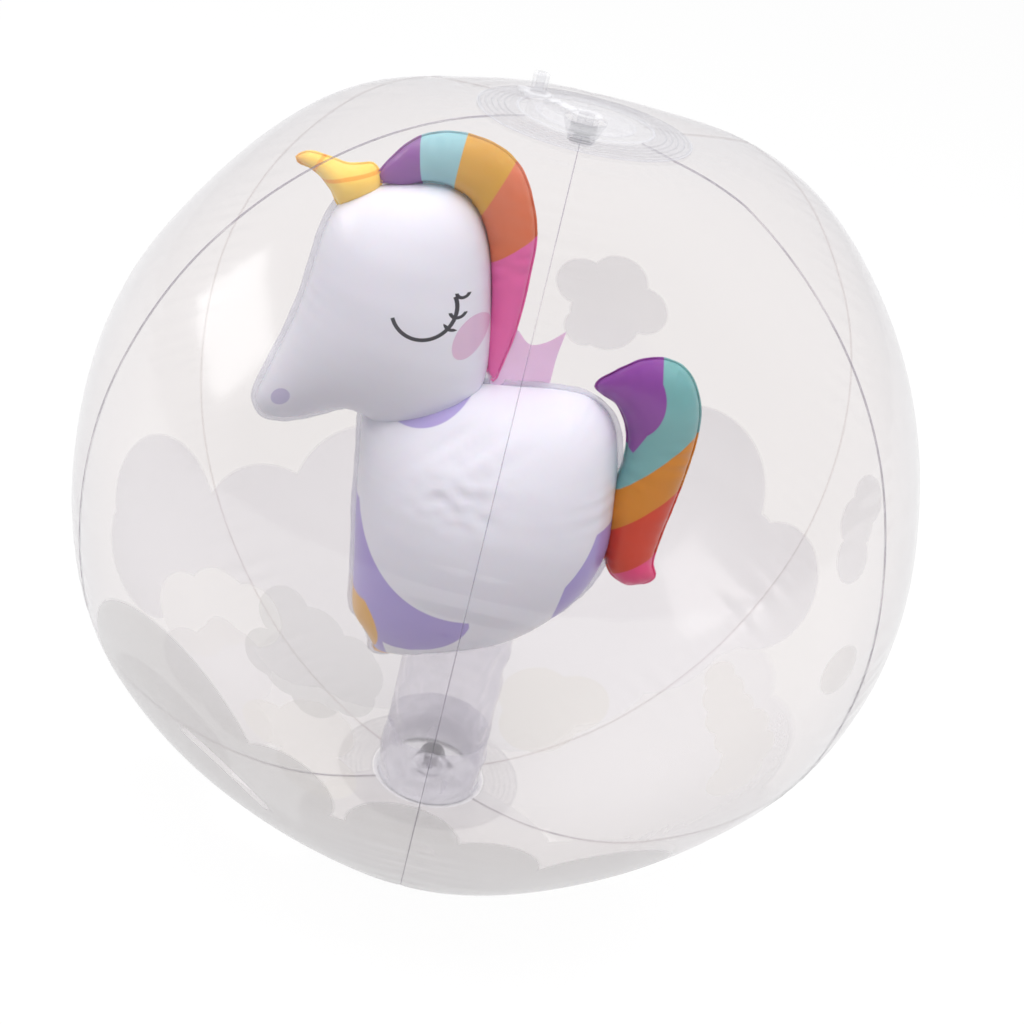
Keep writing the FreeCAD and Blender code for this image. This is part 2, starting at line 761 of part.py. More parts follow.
def check(objects):
    """Stops on any failed object or bad shape."""
    for item in doc.Objects:
        if set(item.State) & {"Invalid", "Error"}:
            raise RuntimeError(f"{item.Name} failed: {item.State}")
    for item in objects:
        if item.Shape.isNull() or not item.Shape.isValid() or not item.Shape.Solids:
            raise RuntimeError(f"{item.Label} has no valid shape")


def main():
    fill_sheet()
    pieces = make_gores() + make_caps() + make_top_valve() + make_bottom_valve()
    tube, sleeve = make_pillar()
    doc.recompute()
    figure, belly = make_figure()
    trimmed = add_piece("pillar", tube.Shape.cut(belly))
    pieces += figure + [trimmed, sleeve]
    doc.recompute()
    check(pieces)
    os.makedirs("parts", exist_ok=True)
    for piece in pieces:
        piece.Shape.exportStep(f"parts/{piece.Label}.step")
        box = piece.Shape.BoundBox
        print(f"{piece.Label}: {len(piece.Shape.Solids)} solid, {piece.Shape.Volume:.1f} mm3, z {box.ZMin:.2f} to {box.ZMax:.2f}")


main()
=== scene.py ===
"""Looks of a clear inflatable beach ball with an inflatable unicorn inside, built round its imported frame.

Lengths are in metres, and millimetres where a name ends in _mm. The ball's axis is +Z, the camera
looks along +Y and the unicorn faces -X. The unicorn's pieces are drawn in its own leaned frame:
along it and up it, in millimetres.
"""

import json
import math

import bpy
import numpy as np
from mathutils import Matrix, Vector, geometry, noise


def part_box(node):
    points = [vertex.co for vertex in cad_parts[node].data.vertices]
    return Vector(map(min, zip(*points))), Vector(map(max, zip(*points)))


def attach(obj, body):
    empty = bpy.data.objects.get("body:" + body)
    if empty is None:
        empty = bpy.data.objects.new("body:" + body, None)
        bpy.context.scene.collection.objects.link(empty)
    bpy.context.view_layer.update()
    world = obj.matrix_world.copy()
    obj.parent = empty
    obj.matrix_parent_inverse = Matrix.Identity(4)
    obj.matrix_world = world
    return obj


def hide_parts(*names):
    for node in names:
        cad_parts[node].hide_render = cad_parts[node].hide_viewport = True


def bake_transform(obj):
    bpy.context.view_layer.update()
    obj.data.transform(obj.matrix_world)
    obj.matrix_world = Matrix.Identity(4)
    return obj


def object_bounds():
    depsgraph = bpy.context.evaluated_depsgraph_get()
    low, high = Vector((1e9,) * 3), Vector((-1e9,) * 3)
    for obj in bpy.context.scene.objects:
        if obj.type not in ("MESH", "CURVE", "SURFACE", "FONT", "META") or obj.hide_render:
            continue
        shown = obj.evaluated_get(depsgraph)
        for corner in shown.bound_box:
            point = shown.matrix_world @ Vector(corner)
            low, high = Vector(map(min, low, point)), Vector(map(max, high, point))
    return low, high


bl_info = {
    "name": "Clear beach ball with a unicorn",
    "version": (1, 0, 0),
    "blender": (4, 5, 0),
    "location": "3D View > Sidebar > Beach ball",
    "description": "Dresses the packed frame of a clear beach ball",
    "category": "Add Mesh",
}

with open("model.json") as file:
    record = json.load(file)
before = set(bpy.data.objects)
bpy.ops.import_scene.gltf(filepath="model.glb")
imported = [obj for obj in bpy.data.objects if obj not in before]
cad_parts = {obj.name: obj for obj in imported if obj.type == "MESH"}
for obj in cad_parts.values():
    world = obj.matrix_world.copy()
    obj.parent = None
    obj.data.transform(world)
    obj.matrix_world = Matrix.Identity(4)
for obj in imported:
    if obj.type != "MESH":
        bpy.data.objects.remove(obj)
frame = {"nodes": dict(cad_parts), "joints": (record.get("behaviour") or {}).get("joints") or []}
CAD_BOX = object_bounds()
MM = 0.001
GORES = [f"gore_{index}" for index in range(1, 7)]
SEAMS = [-90 + 60 * index for index in range(6)]
CENTRE_Z = (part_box("gore_1")[0].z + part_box("gore_1")[1].z) / 2
CAP_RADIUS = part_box("top_cap")[1].x

# Where the valve's bending cone meets its stem, and where a strap leaves the rim and meets the plug.
STEM_WAIST = 0.00535
STRAP_HALF_WIDTH = 0.00275
STRAP_RIM_REACH = 0.00605
PLUG_HEAD_REACH = 0.00545
VALVE_SEGMENTS = 64

JOINTS = {joint["name"]: joint for joint in frame["joints"]}

# Outlines of the unicorn's chambers, as (along, up) corners that a smooth curve runs through.
BODY_OUTLINE = [
    (-35, 116), (-38, 96), (-41, 72), (-43, 50), (-44.5, 36), (-45.5, 20), (-41, 12), (-38, 4),
    (-38, -2), (-26, -1), (-8, 2), (10, 5), (28, 11), (46, 23), (58, 36), (66, 53), (69, 76),
    (70, 98), (67, 113), (58, 122), (46, 125), (30, 126), (10, 127), (-14, 125), (-28, 121),
]
HEAD_OUTLINE = [
    (-41, 202), (-47, 192), (-53, 176), (-60, 159), (-68, 144), (-77, 128), (-81, 119), (-79, 113),
    (-74, 111), (-66, 111), (-54, 114), (-43, 117), (-36, 115), (-30, 110), (-20, 107), (-9, 107),
    (1, 110), (9, 118), (15, 128), (18, 143), (19, 164), (19, 183), (16, 197), (10, 206), (2, 210),
    (-10, 211), (-22, 210), (-33, 207),
]
HORN_OUTLINE = [
    (-56, 221), (-51.5, 223), (-46, 221.9), (-40.5, 219.9), (-35, 218.2), (-30.5, 218.4),
    (-26, 218.5), (-23.5, 214.5), (-23.4, 210.2), (-26, 206.5), (-32, 203), (-37, 201.8),
    (-40.3, 202), (-43, 208.5), (-46, 213), (-50, 217), (-54.4, 219),
]
MANE_OUTLINE = [
    (-24, 213), (-17, 222), (-7, 229), (4, 231), (15, 229), (25, 224), (32, 216), (36, 203),
    (37, 189), (34, 173), (31, 160), (27, 147), (22, 135), (19, 129), (17, 133), (17, 145),
    (19, 163), (19, 182), (17, 195), (12, 205), (5, 210), (-5, 212), (-14, 210),
]
TAIL_OUTLINE = [
    (61, 127), (70, 134), (82, 139), (92, 138), (99, 132), (103, 119), (102, 105), (98, 89),
    (93, 73), (88, 58), (85, 46), (86, 39), (81, 36), (73, 36), (67, 42), (65, 53), (66, 67),
    (69, 82), (73, 95), (74, 107), (70, 119),
]
FLICK_OUTLINE = [
    (17, 131), (22, 142), (28, 151), (34, 144), (41, 145), (49, 150), (45, 139), (42, 127),
    (30, 125), (19, 126),
]
FLICK_CORNERS = (5, 7)


def metres(name, default, text):
    return bpy.props.FloatProperty(name=name, description=text, default=default, unit="LENGTH", precision=5)


def number(name, default, text):
    return bpy.props.FloatProperty(name=name, description=text, default=default)


def angle(name, degrees, text):
    return bpy.props.FloatProperty(
        name=name, description=text, default=math.radians(degrees), subtype="ANGLE"
    )


def colour(name, default, text):
    return bpy.props.FloatVectorProperty(
        name=name, description=text, default=default, subtype="COLOR", size=3, min=0, max=1
    )


class BallSizes(bpy.types.PropertyGroup):
    """Sizes of the ball's film."""

    equator_radius: metres("Equator radius", CAD_BOX[1].x, "Ball radius at the middle of a gore")
    arc_radius: metres("Gore curve", CENTRE_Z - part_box("gore_1")[0].z, "Radius of a gore's long curve")
    axis_offset: metres("Gore axis offset", 0.012, "How far a gore's axis stands out from the ball's")
    opening: metres("Opening", 0.026, "Radius of the opening in the gores under a cap")
    seam_depth: metres("Seam depth", 0.0006, "Depth of the dense line inside a seam")
    seam_width: metres("Seam width", 0.0003, "Width of the welded line")
    pucker_depth: metres("Pucker depth", 0.0004, "Height of the puckers beside a seam")
    pucker_length: metres("Pucker length", 0.009, "Spacing of the puckers along a seam")
    pucker_reach: metres("Pucker reach", 0.014, "How far the puckers run out from a seam")
    sway: metres("Sway", 0.0016, "Depth of the broad unevenness of the inflated film")
    columns: bpy.props.IntProperty(name="Columns", description="Mesh columns across a gore", default=56)
    rows: bpy.props.IntProperty(name="Rows", description="Mesh rows from pole to pole", default=220)


class BallLooks(bpy.types.PropertyGroup):
    """Colours of the ball's film and prints."""

    tint: colour("Film tint", (0.936, 0.918, 0.915), "What one layer of film lets through")
    rim: colour("Film edge", (0.50, 0.50, 0.55), "Colour of film seen edge on")
    # Painted shade: the cloud ink towards -Y is a darker copy of the same ink, because that print is lit
    # from behind. The next colour is the lit copy.
    shaded_front_cloud: colour("Front cloud ink", (0.56, 0.545, 0.54), "Colour of the cloud print towards -Y")
    cloud: colour("Cloud ink", (0.75, 0.745, 0.785), "Colour of the rest of the cloud print")
    warm_cloud: colour("Warm cloud ink", (0.70, 0.68, 0.62), "Colour of the small low clouds")
    seam: colour("Seam", (0.22, 0.21, 0.34), "Colour of the welded seam line")
    vinyl: colour("Clear moulding", (0.92, 0.92, 0.94), "Colour of the valve mouldings")
    lilac: colour("Lilac film", (0.84, 0.83, 0.93), "Tint of the pillar")
    cloud_strength: number("Cloud strength", 0.5, "How much the cloud ink covers")


class UnicornSizes(bpy.types.PropertyGroup):
    """Sizes of the unicorn, in its own leaned frame."""

    lean: angle("Lean", 13.5, "Forward lean of the unicorn")
    ground_height: metres("Ground height", 0.070, "Height of the unicorn's own origin")
    body_half_mm: number("Body half thickness", 42, "In millimetres, across the fullest place")
    head_half_mm: number("Head half thickness", 29, "In millimetres, across the fullest place")
    horn_half_mm: number("Horn half thickness", 7.5, "In millimetres, across the fullest place")
    mane_half_mm: number("Mane half thickness", 8, "In millimetres, across the fullest place")
    tail_half_mm: number("Tail half thickness", 10.5, "In millimetres, across the fullest place")
    flange_mm: number("Weld width", 2.6, "Width of the flat weld round the head and body, in millimetres")
    mesh_mm: number("Mesh spacing", 2.0, "Spacing of a panel's mesh, in millimetres")


class UnicornLooks(bpy.types.PropertyGroup):
    """Colours of the unicorn's prints."""

    white: colour("White", (0.805, 0.81, 0.90), "The body's white film, which is faintly lilac")
    lilac: colour("Lilac", (0.39, 0.315, 0.69), "Printed legs and the shade under the jaw")
    hoof: colour("Hoof", (0.74, 0.36, 0.002), "Gold hoof")
    ink: colour("Ink", (0.035, 0.035, 0.045), "Closed eye and its lashes")
    cheek: colour("Cheek", (0.72, 0.47, 0.66), "Round blush on the cheek")
    nostril: colour("Nostril", (0.50, 0.46, 0.70), "Nostril")
    purple: colour("Purple", (0.245, 0.062, 0.335), "First band of the mane")
    teal: colour("Teal", (0.29, 0.56, 0.62), "Second band of the mane")
    gold: colour("Gold", (0.70, 0.35, 0.01), "Third band of the mane")
    coral: colour("Coral", (0.73, 0.165, 0.06), "Fourth band of the mane")
    magenta: colour("Magenta", (0.84, 0.14, 0.42), "Fifth band of the mane")
    pink: colour("Pink", (0.95, 0.68, 0.92), "Flat end of the mane")
    tail_teal: colour("Tail teal", (0.18, 0.42, 0.43), "Second band of the tail")
    tail_gold: colour("Tail gold", (0.66, 0.23, 0.0), "Third band of the tail")
    tail_orange: colour("Tail orange", (0.66, 0.037, 0.0), "Fourth band of the tail")
    tail_pink: colour("Tail pink", (0.80, 0.045, 0.20), "Last band of the tail")
    horn: colour("Horn", (1.0, 0.65, 0.11), "Horn between its bands")
    horn_band: colour("Horn band", (0.95, 0.36, 0.02), "Spiral bands of the horn")


class StageLooks(bpy.types.PropertyGroup):
    """The camera, floor and lamps."""

    distance: metres("Camera distance", 0.704, "Camera to the ball's middle")
    elevation: angle("Camera elevation", 26.55, "Camera height above the horizon")
    roll: angle("Camera roll", 13.6, "How far the ball leans to the right in the picture")
    lens: number("Lens", 58.84, "Focal length for a 36 mm wide picture")
    shift_x: number("Shift across", 0.01275, "Places the ball across the picture")
    shift_y: number("Shift up", -0.0335, "Places the ball up the picture")
    focus: metres("Focus", 0.60, "Distance of the sharpest place")
    stop: number("Stop", 20, "Lens stop, which blurs the far side of the ball a little")
    floor: colour("Floor", (0.50, 0.50, 0.505), "Floor that lights the ball from below")
    floor_seen: number("Floor shade", 0.08, "Share of the floor's own light that is seen")
    floor_glow: number("Floor glow", 0.92, "Light added so that the floor reads as white")
    sky: number("Sky", 0.92, "Strength of the light from all round")
    dark_side: number("Dark side", 0.06, "What mirrors see towards -Y, where the room is dark")


class Wire:
    """A shader socket that can be used in Python sums."""

    def __init__(self, finish, socket):
        self.finish = finish
        self.socket = socket

    def math(self, operation, *others):
        return self.finish.node("Math", {"operation": operation}, dict(enumerate((self, *others))))

    def __add__(self, other):
        return self.math("ADD", other)

    __radd__ = __add__

    def __sub__(self, other):
        return self.math("SUBTRACT", other)

    def __rsub__(self, other):
        return self.finish.node("Math", {"operation": "SUBTRACT"}, {0: other, 1: self})

    def __mul__(self, other):
        return self.math("MULTIPLY", other)

    __rmul__ = __mul__

    def __truediv__(self, other):
        return self.math("DIVIDE", other)

    def __pow__(self, other):
        return self.math("POWER", other)

    def __abs__(self):
        return self.math("ABSOLUTE")

    def at_most(self, other):
        return self.math("MINIMUM", other)

    def at_least(self, other):
        return self.math("MAXIMUM", other)

    def root(self):
        return self.math("SQRT")

    def rise(self, low, high):
        """0 up to low, 1 from high, and a smooth step between them."""
        return self.finish.node(
            "MapRange",
            {"interpolation_type": "SMOOTHSTEP", "clamp": True},
            {"Value": self, "From Min": low, "From Max": high, "To Min": 0.0, "To Max": 1.0},
        )

    def fall(self, low, high):
        return 1 - self.rise(low, high)


def opaque(shade):
    """A colour with its alpha. A wire stays as it is."""
    return shade if isinstance(shade, Wire) else (*shade, 1)


class Finish:
    """A material, or the world, being made."""

    def __init__(self, owner):
        self.owner = bpy.data.materials.new(owner) if isinstance(owner, str) else owner
        self.owner.use_nodes = True
        self.tree = self.owner.node_tree
        self.tree.nodes.clear()

    def node(self, kind, settings=None, sockets=None, out=0):
        """Adds a node: its settings first, then the values or wires of its sockets."""
        made = self.tree.nodes.new("ShaderNode" + kind)
        for key, setting in (settings or {}).items():
            setattr(made, key, setting)
        for key, given in (sockets or {}).items():
            if isinstance(given, Wire):
                self.tree.links.new(given.socket, made.inputs[key])
            else:
                made.inputs[key].default_value = given
        return Wire(self, made.outputs[out]) if len(made.outputs) else made

    def outputs(self, wire, *names):
        """Other outputs of the node that a wire comes from."""
        return [Wire(self, wire.socket.node.outputs[name]) for name in names]

    def parts(self, wire):
        """The x, y and z of a vector wire."""
        return self.outputs(self.node("SeparateXYZ", sockets={0: wire}), 0, 1, 2)

    def place(self):
        """Object coordinates, in metres: the vector, and its x, y and z."""
        where = self.node("TexCoord", out="Object")
        return where, self.parts(where)

    def mix(self, share, first, second):
        """The first colour where share is 0, the second where it is 1."""
        sockets = {0: share, 6: opaque(first), 7: opaque(second)}
        return self.node("Mix", {"data_type": "RGBA"}, sockets, out=2)

    def noise(self, where, scale, detail=3.0, roughness=0.5):
        return self.node(
            "TexNoise", sockets={"Vector": where, "Scale": scale, "Detail": detail, "Roughness": roughness}
        )

    def bump(self, height, strength, distance):
        return self.node("Bump", sockets={"Height": height, "Strength": strength, "Distance": distance})

    def facing(self, bump):
        """0 where a surface is seen squarely, 1 where it is seen edge on."""
        return self.node("LayerWeight", sockets={"Blend": 0.5, "Normal": bump}, out="Facing")

    def clear(self, shade):
        return self.node("BsdfTransparent", sockets={"Color": opaque(shade)})

    def gloss(self, roughness, bump):
        sockets = {"Color": (1, 1, 1, 1), "Roughness": roughness, "Normal": bump}
        return self.node("BsdfGlossy", sockets=sockets)

    def solid(self, shade, roughness, bump, more=None):
        sockets = {"Base Color": opaque(shade), "Roughness": roughness, "Normal": bump}
        return self.node("BsdfPrincipled", sockets={**sockets, **(more or {})})

    def mix_shaders(self, share, first, second):
        return self.node("MixShader", sockets={0: share, 1: first, 2: second})

    def show(self, shader):
        self.node("OutputMaterial", sockets={"Surface": shader})
        return self.owner


def add_piece(name, points, faces, material, smooth=True):
    """A mesh object in the row frame."""
    mesh = bpy.data.meshes.new(name)
    mesh.from_pydata([tuple(point) for point in points], [], [tuple(face) for face in faces])
    mesh.update()
    if smooth:
        mesh.shade_smooth()
    mesh.materials.append(material)
    piece = bpy.data.objects.new(name, mesh)
    bpy.context.scene.collection.objects.link(piece)
    return piece


def grid_faces(rows, columns, closed=False):
    """Quads of a grid of points stored row by row."""
    faces = []
    for row in range(rows - 1):
        for column in range(columns if closed else columns - 1):
            here = row * columns + column
            there = row * columns + (column + 1) % columns
            faces.append((here, there, there + columns, here + columns))
    return faces


def ripple(position, seed, spacing):
    """A smooth random wave along a line, between about -1 and 1."""
    return noise.noise(Vector((position / spacing, seed * 7.3, seed * 1.7)))


def uneven(points, size, seed):
    """Smooth random numbers at points in metres."""
    shift = Vector((seed * 3.1, seed * 5.7, seed * 2.3))
    return np.array([noise.noise(Vector(point) / size + shift) for point in points])


# The ball's film


def profile(sizes, across, climb):
    """Radius and height of a gore at an angle across it and an angle up its long curve."""
    own = (sizes.equator_radius - sizes.arc_radius - sizes.axis_offset) + sizes.arc_radius * np.cos(climb)
    offset = sizes.axis_offset
    reach = offset * np.cos(across) + np.sqrt(own**2 - (offset * np.sin(across)) ** 2)
    return reach, sizes.arc_radius * np.sin(climb)


def top_climb(sizes, across):
    """Climb at which a gore meets the opening under the cap."""
    offset = sizes.axis_offset
    own = np.sqrt(sizes.opening**2 - 2 * sizes.opening * offset * np.cos(across) + offset**2)
    return np.arccos((own - (sizes.equator_radius - sizes.arc_radius - offset)) / sizes.arc_radius)


# Where the film stands out or in: degrees round from the front, latitude, spread and millimetres.
BULGES = [
    (109, 60, 15, 8.5), (-107, 58, 9, 4.5), (-165, 74, 10, 3.0), (-89, 29, 11, -2.2),
    (-59, -24, 10, 2.8), (1, -50, 9, 3.2), (41, -39, 10, -2.2), (80, 11, 10, -1.8),
    (-77, 5, 12, -2.8), (87, 22, 12, -2.2),
]


def sway(sizes, points):
    """Moves points of the film in or out by a broad, smooth unevenness that fades under the caps."""
    centre = np.array([0, 0, CENTRE_Z])
    out = points - centre
    length = np.linalg.norm(out, axis=1, keepdims=True)
    way = out / length
    radius = np.hypot(points[:, 0], points[:, 1])
    fade = np.clip((radius - CAP_RADIUS) / 0.03, 0, 1)
    wave = sizes.sway * (uneven(points, 0.085, 4) * 0.75 + uneven(points, 0.04, 9) * 0.25)
    for degrees, latitude, spread, height in BULGES:
        apart = np.degrees(np.arccos(np.clip(way @ np.array(bearing(degrees, latitude)), -1, 1)))
        wave += height * MM * np.exp(-((apart / spread) ** 2) / 2)
    return points + way * (wave * fade)[:, None]


def seam_pucker(sizes, climb, from_seam, seed):
    """Height of the puckers that run square to a seam."""
    peak, flat_edge = 0.004, 0.0015
    along = climb * sizes.arc_radius
    near = (from_seam / peak) * np.exp(1 - from_seam / peak) * 0.5
    shape = near + np.exp(-from_seam / sizes.pucker_reach)
    shape *= np.clip(from_seam / flat_edge, 0, 1)
    waves = []
    for place in along:
        strength = 0.35 + max(0.0, ripple(place, seed, 0.045) * 2.2)
        turn = 2 * math.pi * (place / sizes.pucker_length + 1.5 * ripple(place, seed + 5, 0.03))
        waves.append(strength * math.sin(turn))
    return sizes.pucker_depth * shape * np.array(waves)


# The small gathers in the gores round a cap: how many waves in a full turn, and their height.
GATHERS = 42
GATHER_HEIGHT = 0.00013


def gore_points(sizes, index):
    """Points of one gore, row by row from pole to pole, with a list of how far each is from a seam."""
    half = math.pi / len(GORES)
    middle = math.radians(SEAMS[index]) + half
    share = np.linspace(-1, 1, sizes.columns)
    across = half * np.sin(share * math.pi / 2) * 0.35 + half * share * 0.65
    limit = top_climb(sizes, across)
    rows = []
    for step in np.linspace(-1, 1, sizes.rows):
        climb = limit * step
        reach, height = profile(sizes, across, climb)
        from_seam = reach * np.sin(half - np.abs(across))
        left = seam_pucker(sizes, climb[:1], from_seam, index + 1)
        right = seam_pucker(sizes, climb[-1:], from_seam, (index + 1) % len(GORES) + 1)
        pucker = np.where(across < 0, left, right) * np.clip((reach - CAP_RADIUS) / 0.01, 0, 1)
        past_cap = reach - CAP_RADIUS
        fringe = np.clip(past_cap / 0.004, 0, 1) * np.exp(-np.clip(past_cap, 0, 1) / 0.012)
        turns = GATHERS * (across + middle) + 2 * np.sin(across * 9 + index)
        gather = GATHER_HEIGHT * fringe * np.sin(turns)
        wide = reach + (pucker + gather) * np.cos(climb)
        tall = height + (pucker + gather) * np.sin(climb)
        turn = middle + across
        rows.append(np.column_stack([wide * np.cos(turn), wide * np.sin(turn), tall + CENTRE_Z]))
    return sway(sizes, np.vstack(rows))


def seam_points(sizes, index):
    """The weld along one seam: a thin fin, a little proud outside and deeper inside."""
    half = math.pi / len(GORES)
    turn = math.radians(SEAMS[index])
    limit = top_climb(sizes, np.array([half]))[0]
    climb = np.linspace(-limit, limit, sizes.rows * 2)
    reach, height = profile(sizes, half, climb)
    line = np.column_stack([reach * math.cos(turn), reach * math.sin(turn), height + CENTRE_Z])
    line = sway(sizes, line)
    out = np.column_stack([np.cos(climb) * math.cos(turn), np.cos(climb) * math.sin(turn), np.sin(climb)])
    side = np.array([-math.sin(turn), math.cos(turn), 0])
    corners = ((0.00012, -0.5), (0.00012, 0.5), (-sizes.seam_depth, 0.5), (-sizes.seam_depth, -0.5))
    rows = [line + out * depth + side * (sizes.seam_width * half_width) for depth, half_width in corners]
    points = np.stack(rows, axis=1).reshape(-1, 3)
    count = len(line)
    faces = grid_faces(count, 4, closed=True)
    last = (count - 1) * 4
    return points, faces + [(3, 2, 1, 0), (last, last + 1, last + 2, last + 3)]


def bearing(degrees, latitude):
    """Unit vector from the ball's middle, at degrees round from the camera's side towards +X."""
    turn, rise = math.radians(degrees), math.radians(latitude)
    return (math.sin(turn) * math.cos(rise), -math.cos(turn) * math.cos(rise), math.sin(rise))


# Puffs of each cloud: degrees round from the front, latitude and radius in degrees.
CLOUD_BANK = [
    (-37, -21.5, 16.5), (-17.4, -20, 7.1), (-1.4, -22.3, 7.2), (10.2, -27, 7.2), (28, -31.7, 10.9),
    (-30, -39, 17), (-8, -42, 20), (14, -46, 19), (36, -50, 17), (144.8, -16.6, 14.5),
    (131, -27, 14), (121, -22, 11), (135, -38, 14), (142, -52, 13), (150, -65, 12), (160, -38, 18),
    (172, -47, 24), (-155, -35.7, 15.4), (-129, -40.7, 15.3), (-105, -27.6, 12.8), (-96, -31, 10),
    (-150, -56, 18), (-125, -56, 10), (-58, -41, 12), (5, -70, 20),
]
CLOUD_GAP = [(-99, -43, 7.5), (-108, -45, 7), (-115, -49, 6)]
PALE_BANK = [(88, -50, 22), (60, -44, 17), (110, -42, 14), (120, -70, 22), (34, -40, 12), (-120, -72, 20)]
GREY_CLOUD = [(-87, -49, 8), (-98, -53, 8), (-80, -57, 7), (-103, -49, 4)]
SMALL_CLOUDS = [
    [
        (-19.5, 5, 3.2), (-20.6, -0.4, 2.9), (-17, 0, 4.6), (-15.6, 3, 4.2), (-14, -3, 3.2),
        (-10.4, 1.0, 3.6), (-11, 2.6, 3.0), (-10, -1.6, 2.8),
    ],
    [(174, 11, 4.6), (168, 13, 5.0), (163, 9, 4.4), (169, 6, 6.2), (172, 3, 3.6)],
    [(110, 1, 3.8), (110.5, -3.5, 4.2), (108, -8, 4.0)],
]
WARM_CLOUDS = [
    [(83, -39, 5), (89, -37, 5), (96, -37.5, 5), (103, -38.5, 4.5), (109, -38, 4), (114, -37, 3)],
    [(146, -62, 6.5), (134, -59, 6.5), (135, -66, 7)],
    [(-85, -63, 5.5), (-95, -70, 7), (-62, -70, 7)],
    [(93, -19, 4.2)],
]
CURVED_LIGHTS = [(-35, -33, 13.6, -26, -23, 9), (-4, -30, 8.5, 2.5, -24.5, 2)]


def puff_edge(finish, where, puffs):
    """How far inside the nearest puff a place is, as a difference of cosines."""
    best = None
    for degrees, latitude, radius in puffs:
        sockets = {0: where, 1: bearing(degrees, latitude)}
        turned = finish.node("VectorMath", {"operation": "DOT_PRODUCT"}, sockets, out="Value")
        inside = (turned - math.cos(math.radians(radius))) / math.sin(math.radians(radius))
        best = inside if best is None else best.at_least(inside)
    return best


# Shares of light that film mirrors squarely and edge on, and how grey it is edge on.
FILM_MIRROR = 0.05
FILM_EDGE_MIRROR = 0.75
FILM_EDGE_GREY = 0.5


def film_mirror(finish, bump):
    """How edge on film is seen, and the share of light it mirrors, the same from either side."""
    facing = finish.facing(bump)
    return facing, FILM_MIRROR + (facing**5) * FILM_EDGE_MIRROR


def film_shader(finish, looks, bump, strength=1.0, tint=None):
    """Clear film: it lets light through, mirrors a little, and greys where it is seen edge on."""
    grey = finish.solid(looks.rim, 0.4, bump)
    facing, mirrored = film_mirror(finish, bump)
    edge = (facing**4) * (FILM_EDGE_GREY * strength)
    body = finish.mix_shaders(edge.at_most(0.9), finish.clear(tint or looks.tint), grey)
    return finish.mix_shaders(mirrored, body, finish.gloss(0.14, bump))


def printed_film(looks):
    """The gores' clear film with its cloud prints."""
    finish = Finish("printed_film")
    where, _ = finish.place()
    centred = finish.node("VectorMath", {"operation": "SUBTRACT"}, {0: where, 1: (0, 0, CENTRE_Z)})
    way = finish.node("VectorMath", {"operation": "NORMALIZE"}, {0: centred})
    wrinkle = finish.noise(where, 26.0, 2.0, 0.45)
    fine = finish.noise(where, 160.0, 2.0, 0.5)
    bump = finish.bump(wrinkle + fine * 0.05, 0.2, 0.0016)
    film = film_shader(finish, looks, bump)
    grain = finish.noise(where, 900.0, 2.0, 0.6)
    bank = puff_edge(finish, way, CLOUD_BANK)
    gap = puff_edge(finish, way, CLOUD_GAP).rise(0, 0.012)
    grey = puff_edge(finish, way, GREY_CLOUD).rise(0, 0.012)
    pale = puff_edge(finish, way, PALE_BANK).rise(0, 0.03)
    cover = (bank.rise(0, 0.012) * (1 - gap * 0.65)).at_least(grey * 0.85).at_least(pale * 0.6) * 0.92
    for puffs in SMALL_CLOUDS:
        edge = puff_edge(finish, way, puffs)
        outlined = 0.3 if puffs is SMALL_CLOUDS[0] else 0.08
        outline = edge.rise(0, 0.004) * (1 - edge.rise(0.05, 0.07) * outlined)
        cover = cover.at_least(outline * 0.6)
    warm = gap * 0.35
    for puffs in WARM_CLOUDS:
        edge = puff_edge(finish, way, puffs).rise(0, 0.006)
        warm = warm.at_least(edge * 0.7)
    forward = finish.parts(way)[1]
    # Painted shade: the cloud ink is darker towards -Y, where it is lit from behind, and lighter elsewhere.
    shade = finish.mix(forward.fall(-0.35, 0.1), looks.cloud, looks.shaded_front_cloud)
    shade = finish.mix(warm, shade, looks.warm_cloud)
    share = cover.at_least(warm * 0.9) * looks.cloud_strength * (0.975 + grain * 0.05)
    for degrees, latitude, radius, cut_degrees, cut_latitude, cut_radius in CURVED_LIGHTS:
        ring = puff_edge(finish, way, [(degrees, latitude, radius)])
        inner = puff_edge(finish, way, [(degrees - 1.2, latitude - 1.8, radius)])
        near = puff_edge(finish, way, [(cut_degrees, cut_latitude, cut_radius)])
        stroke = ring.rise(0, 0.01) * inner.fall(0, 0.01) * near.rise(0, 0.05)
        share = share * (1 - stroke)
    ink = finish.solid(shade, 0.33, bump, {"Coat Weight": 0.25})
    return finish.show(finish.mix_shaders(share, film, ink))


def seam_finish(looks):
    """The welded line: dense, faintly violet film, with pale stretches painted on as highlights."""
    finish = Finish("seam_weld")
    where, (x, y, z) = finish.place()
    # Painted highlights: pale stretches placed at random along the weld, where the weld is also less dense.
    painted_glints = finish.noise(where, 30.0, 2.0).rise(0.5, 0.68)
    lower_side = abs(x).rise(0.05, 0.09) * z.fall(0.06, 0.13)
    dense = 0.015 + y.fall(-0.03, 0.03) * (1 - lower_side * 0.85) * 0.25
    shade = finish.mix(painted_glints * 0.8, looks.seam, (0.66, 0.66, 0.76))
    bump = finish.bump(finish.noise(where, 700.0), 0.3, 0.0003)
    share = dense * (1 - painted_glints * 0.35)
    return finish.show(finish.mix_shaders(share, finish.clear(looks.tint), finish.solid(shade, 0.3, bump)))


class BEACHBALL_OT_gores(bpy.types.Operator):
    """Adds the six printed film gores and the welds between them"""

    bl_idname = "beach_ball.gores"
    bl_label = "Add gores and seams"

    def execute(self, context):
        sizes = context.scene.ball_sizes
        looks = context.scene.ball_looks
        film = printed_film(looks)
        weld = seam_finish(looks)
        for index, node in enumerate(GORES):
            points = gore_points(sizes, index)
            piece = add_piece(f"film_{node}", points, grid_faces(sizes.rows, sizes.columns), film)
            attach(piece, "ball")
            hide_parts(node)
            points, faces = seam_points(sizes, index)
            seam = add_piece(f"seam_weld_{index + 1}", points, faces, weld)
            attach(seam, "ball")
        return {"FINISHED"}


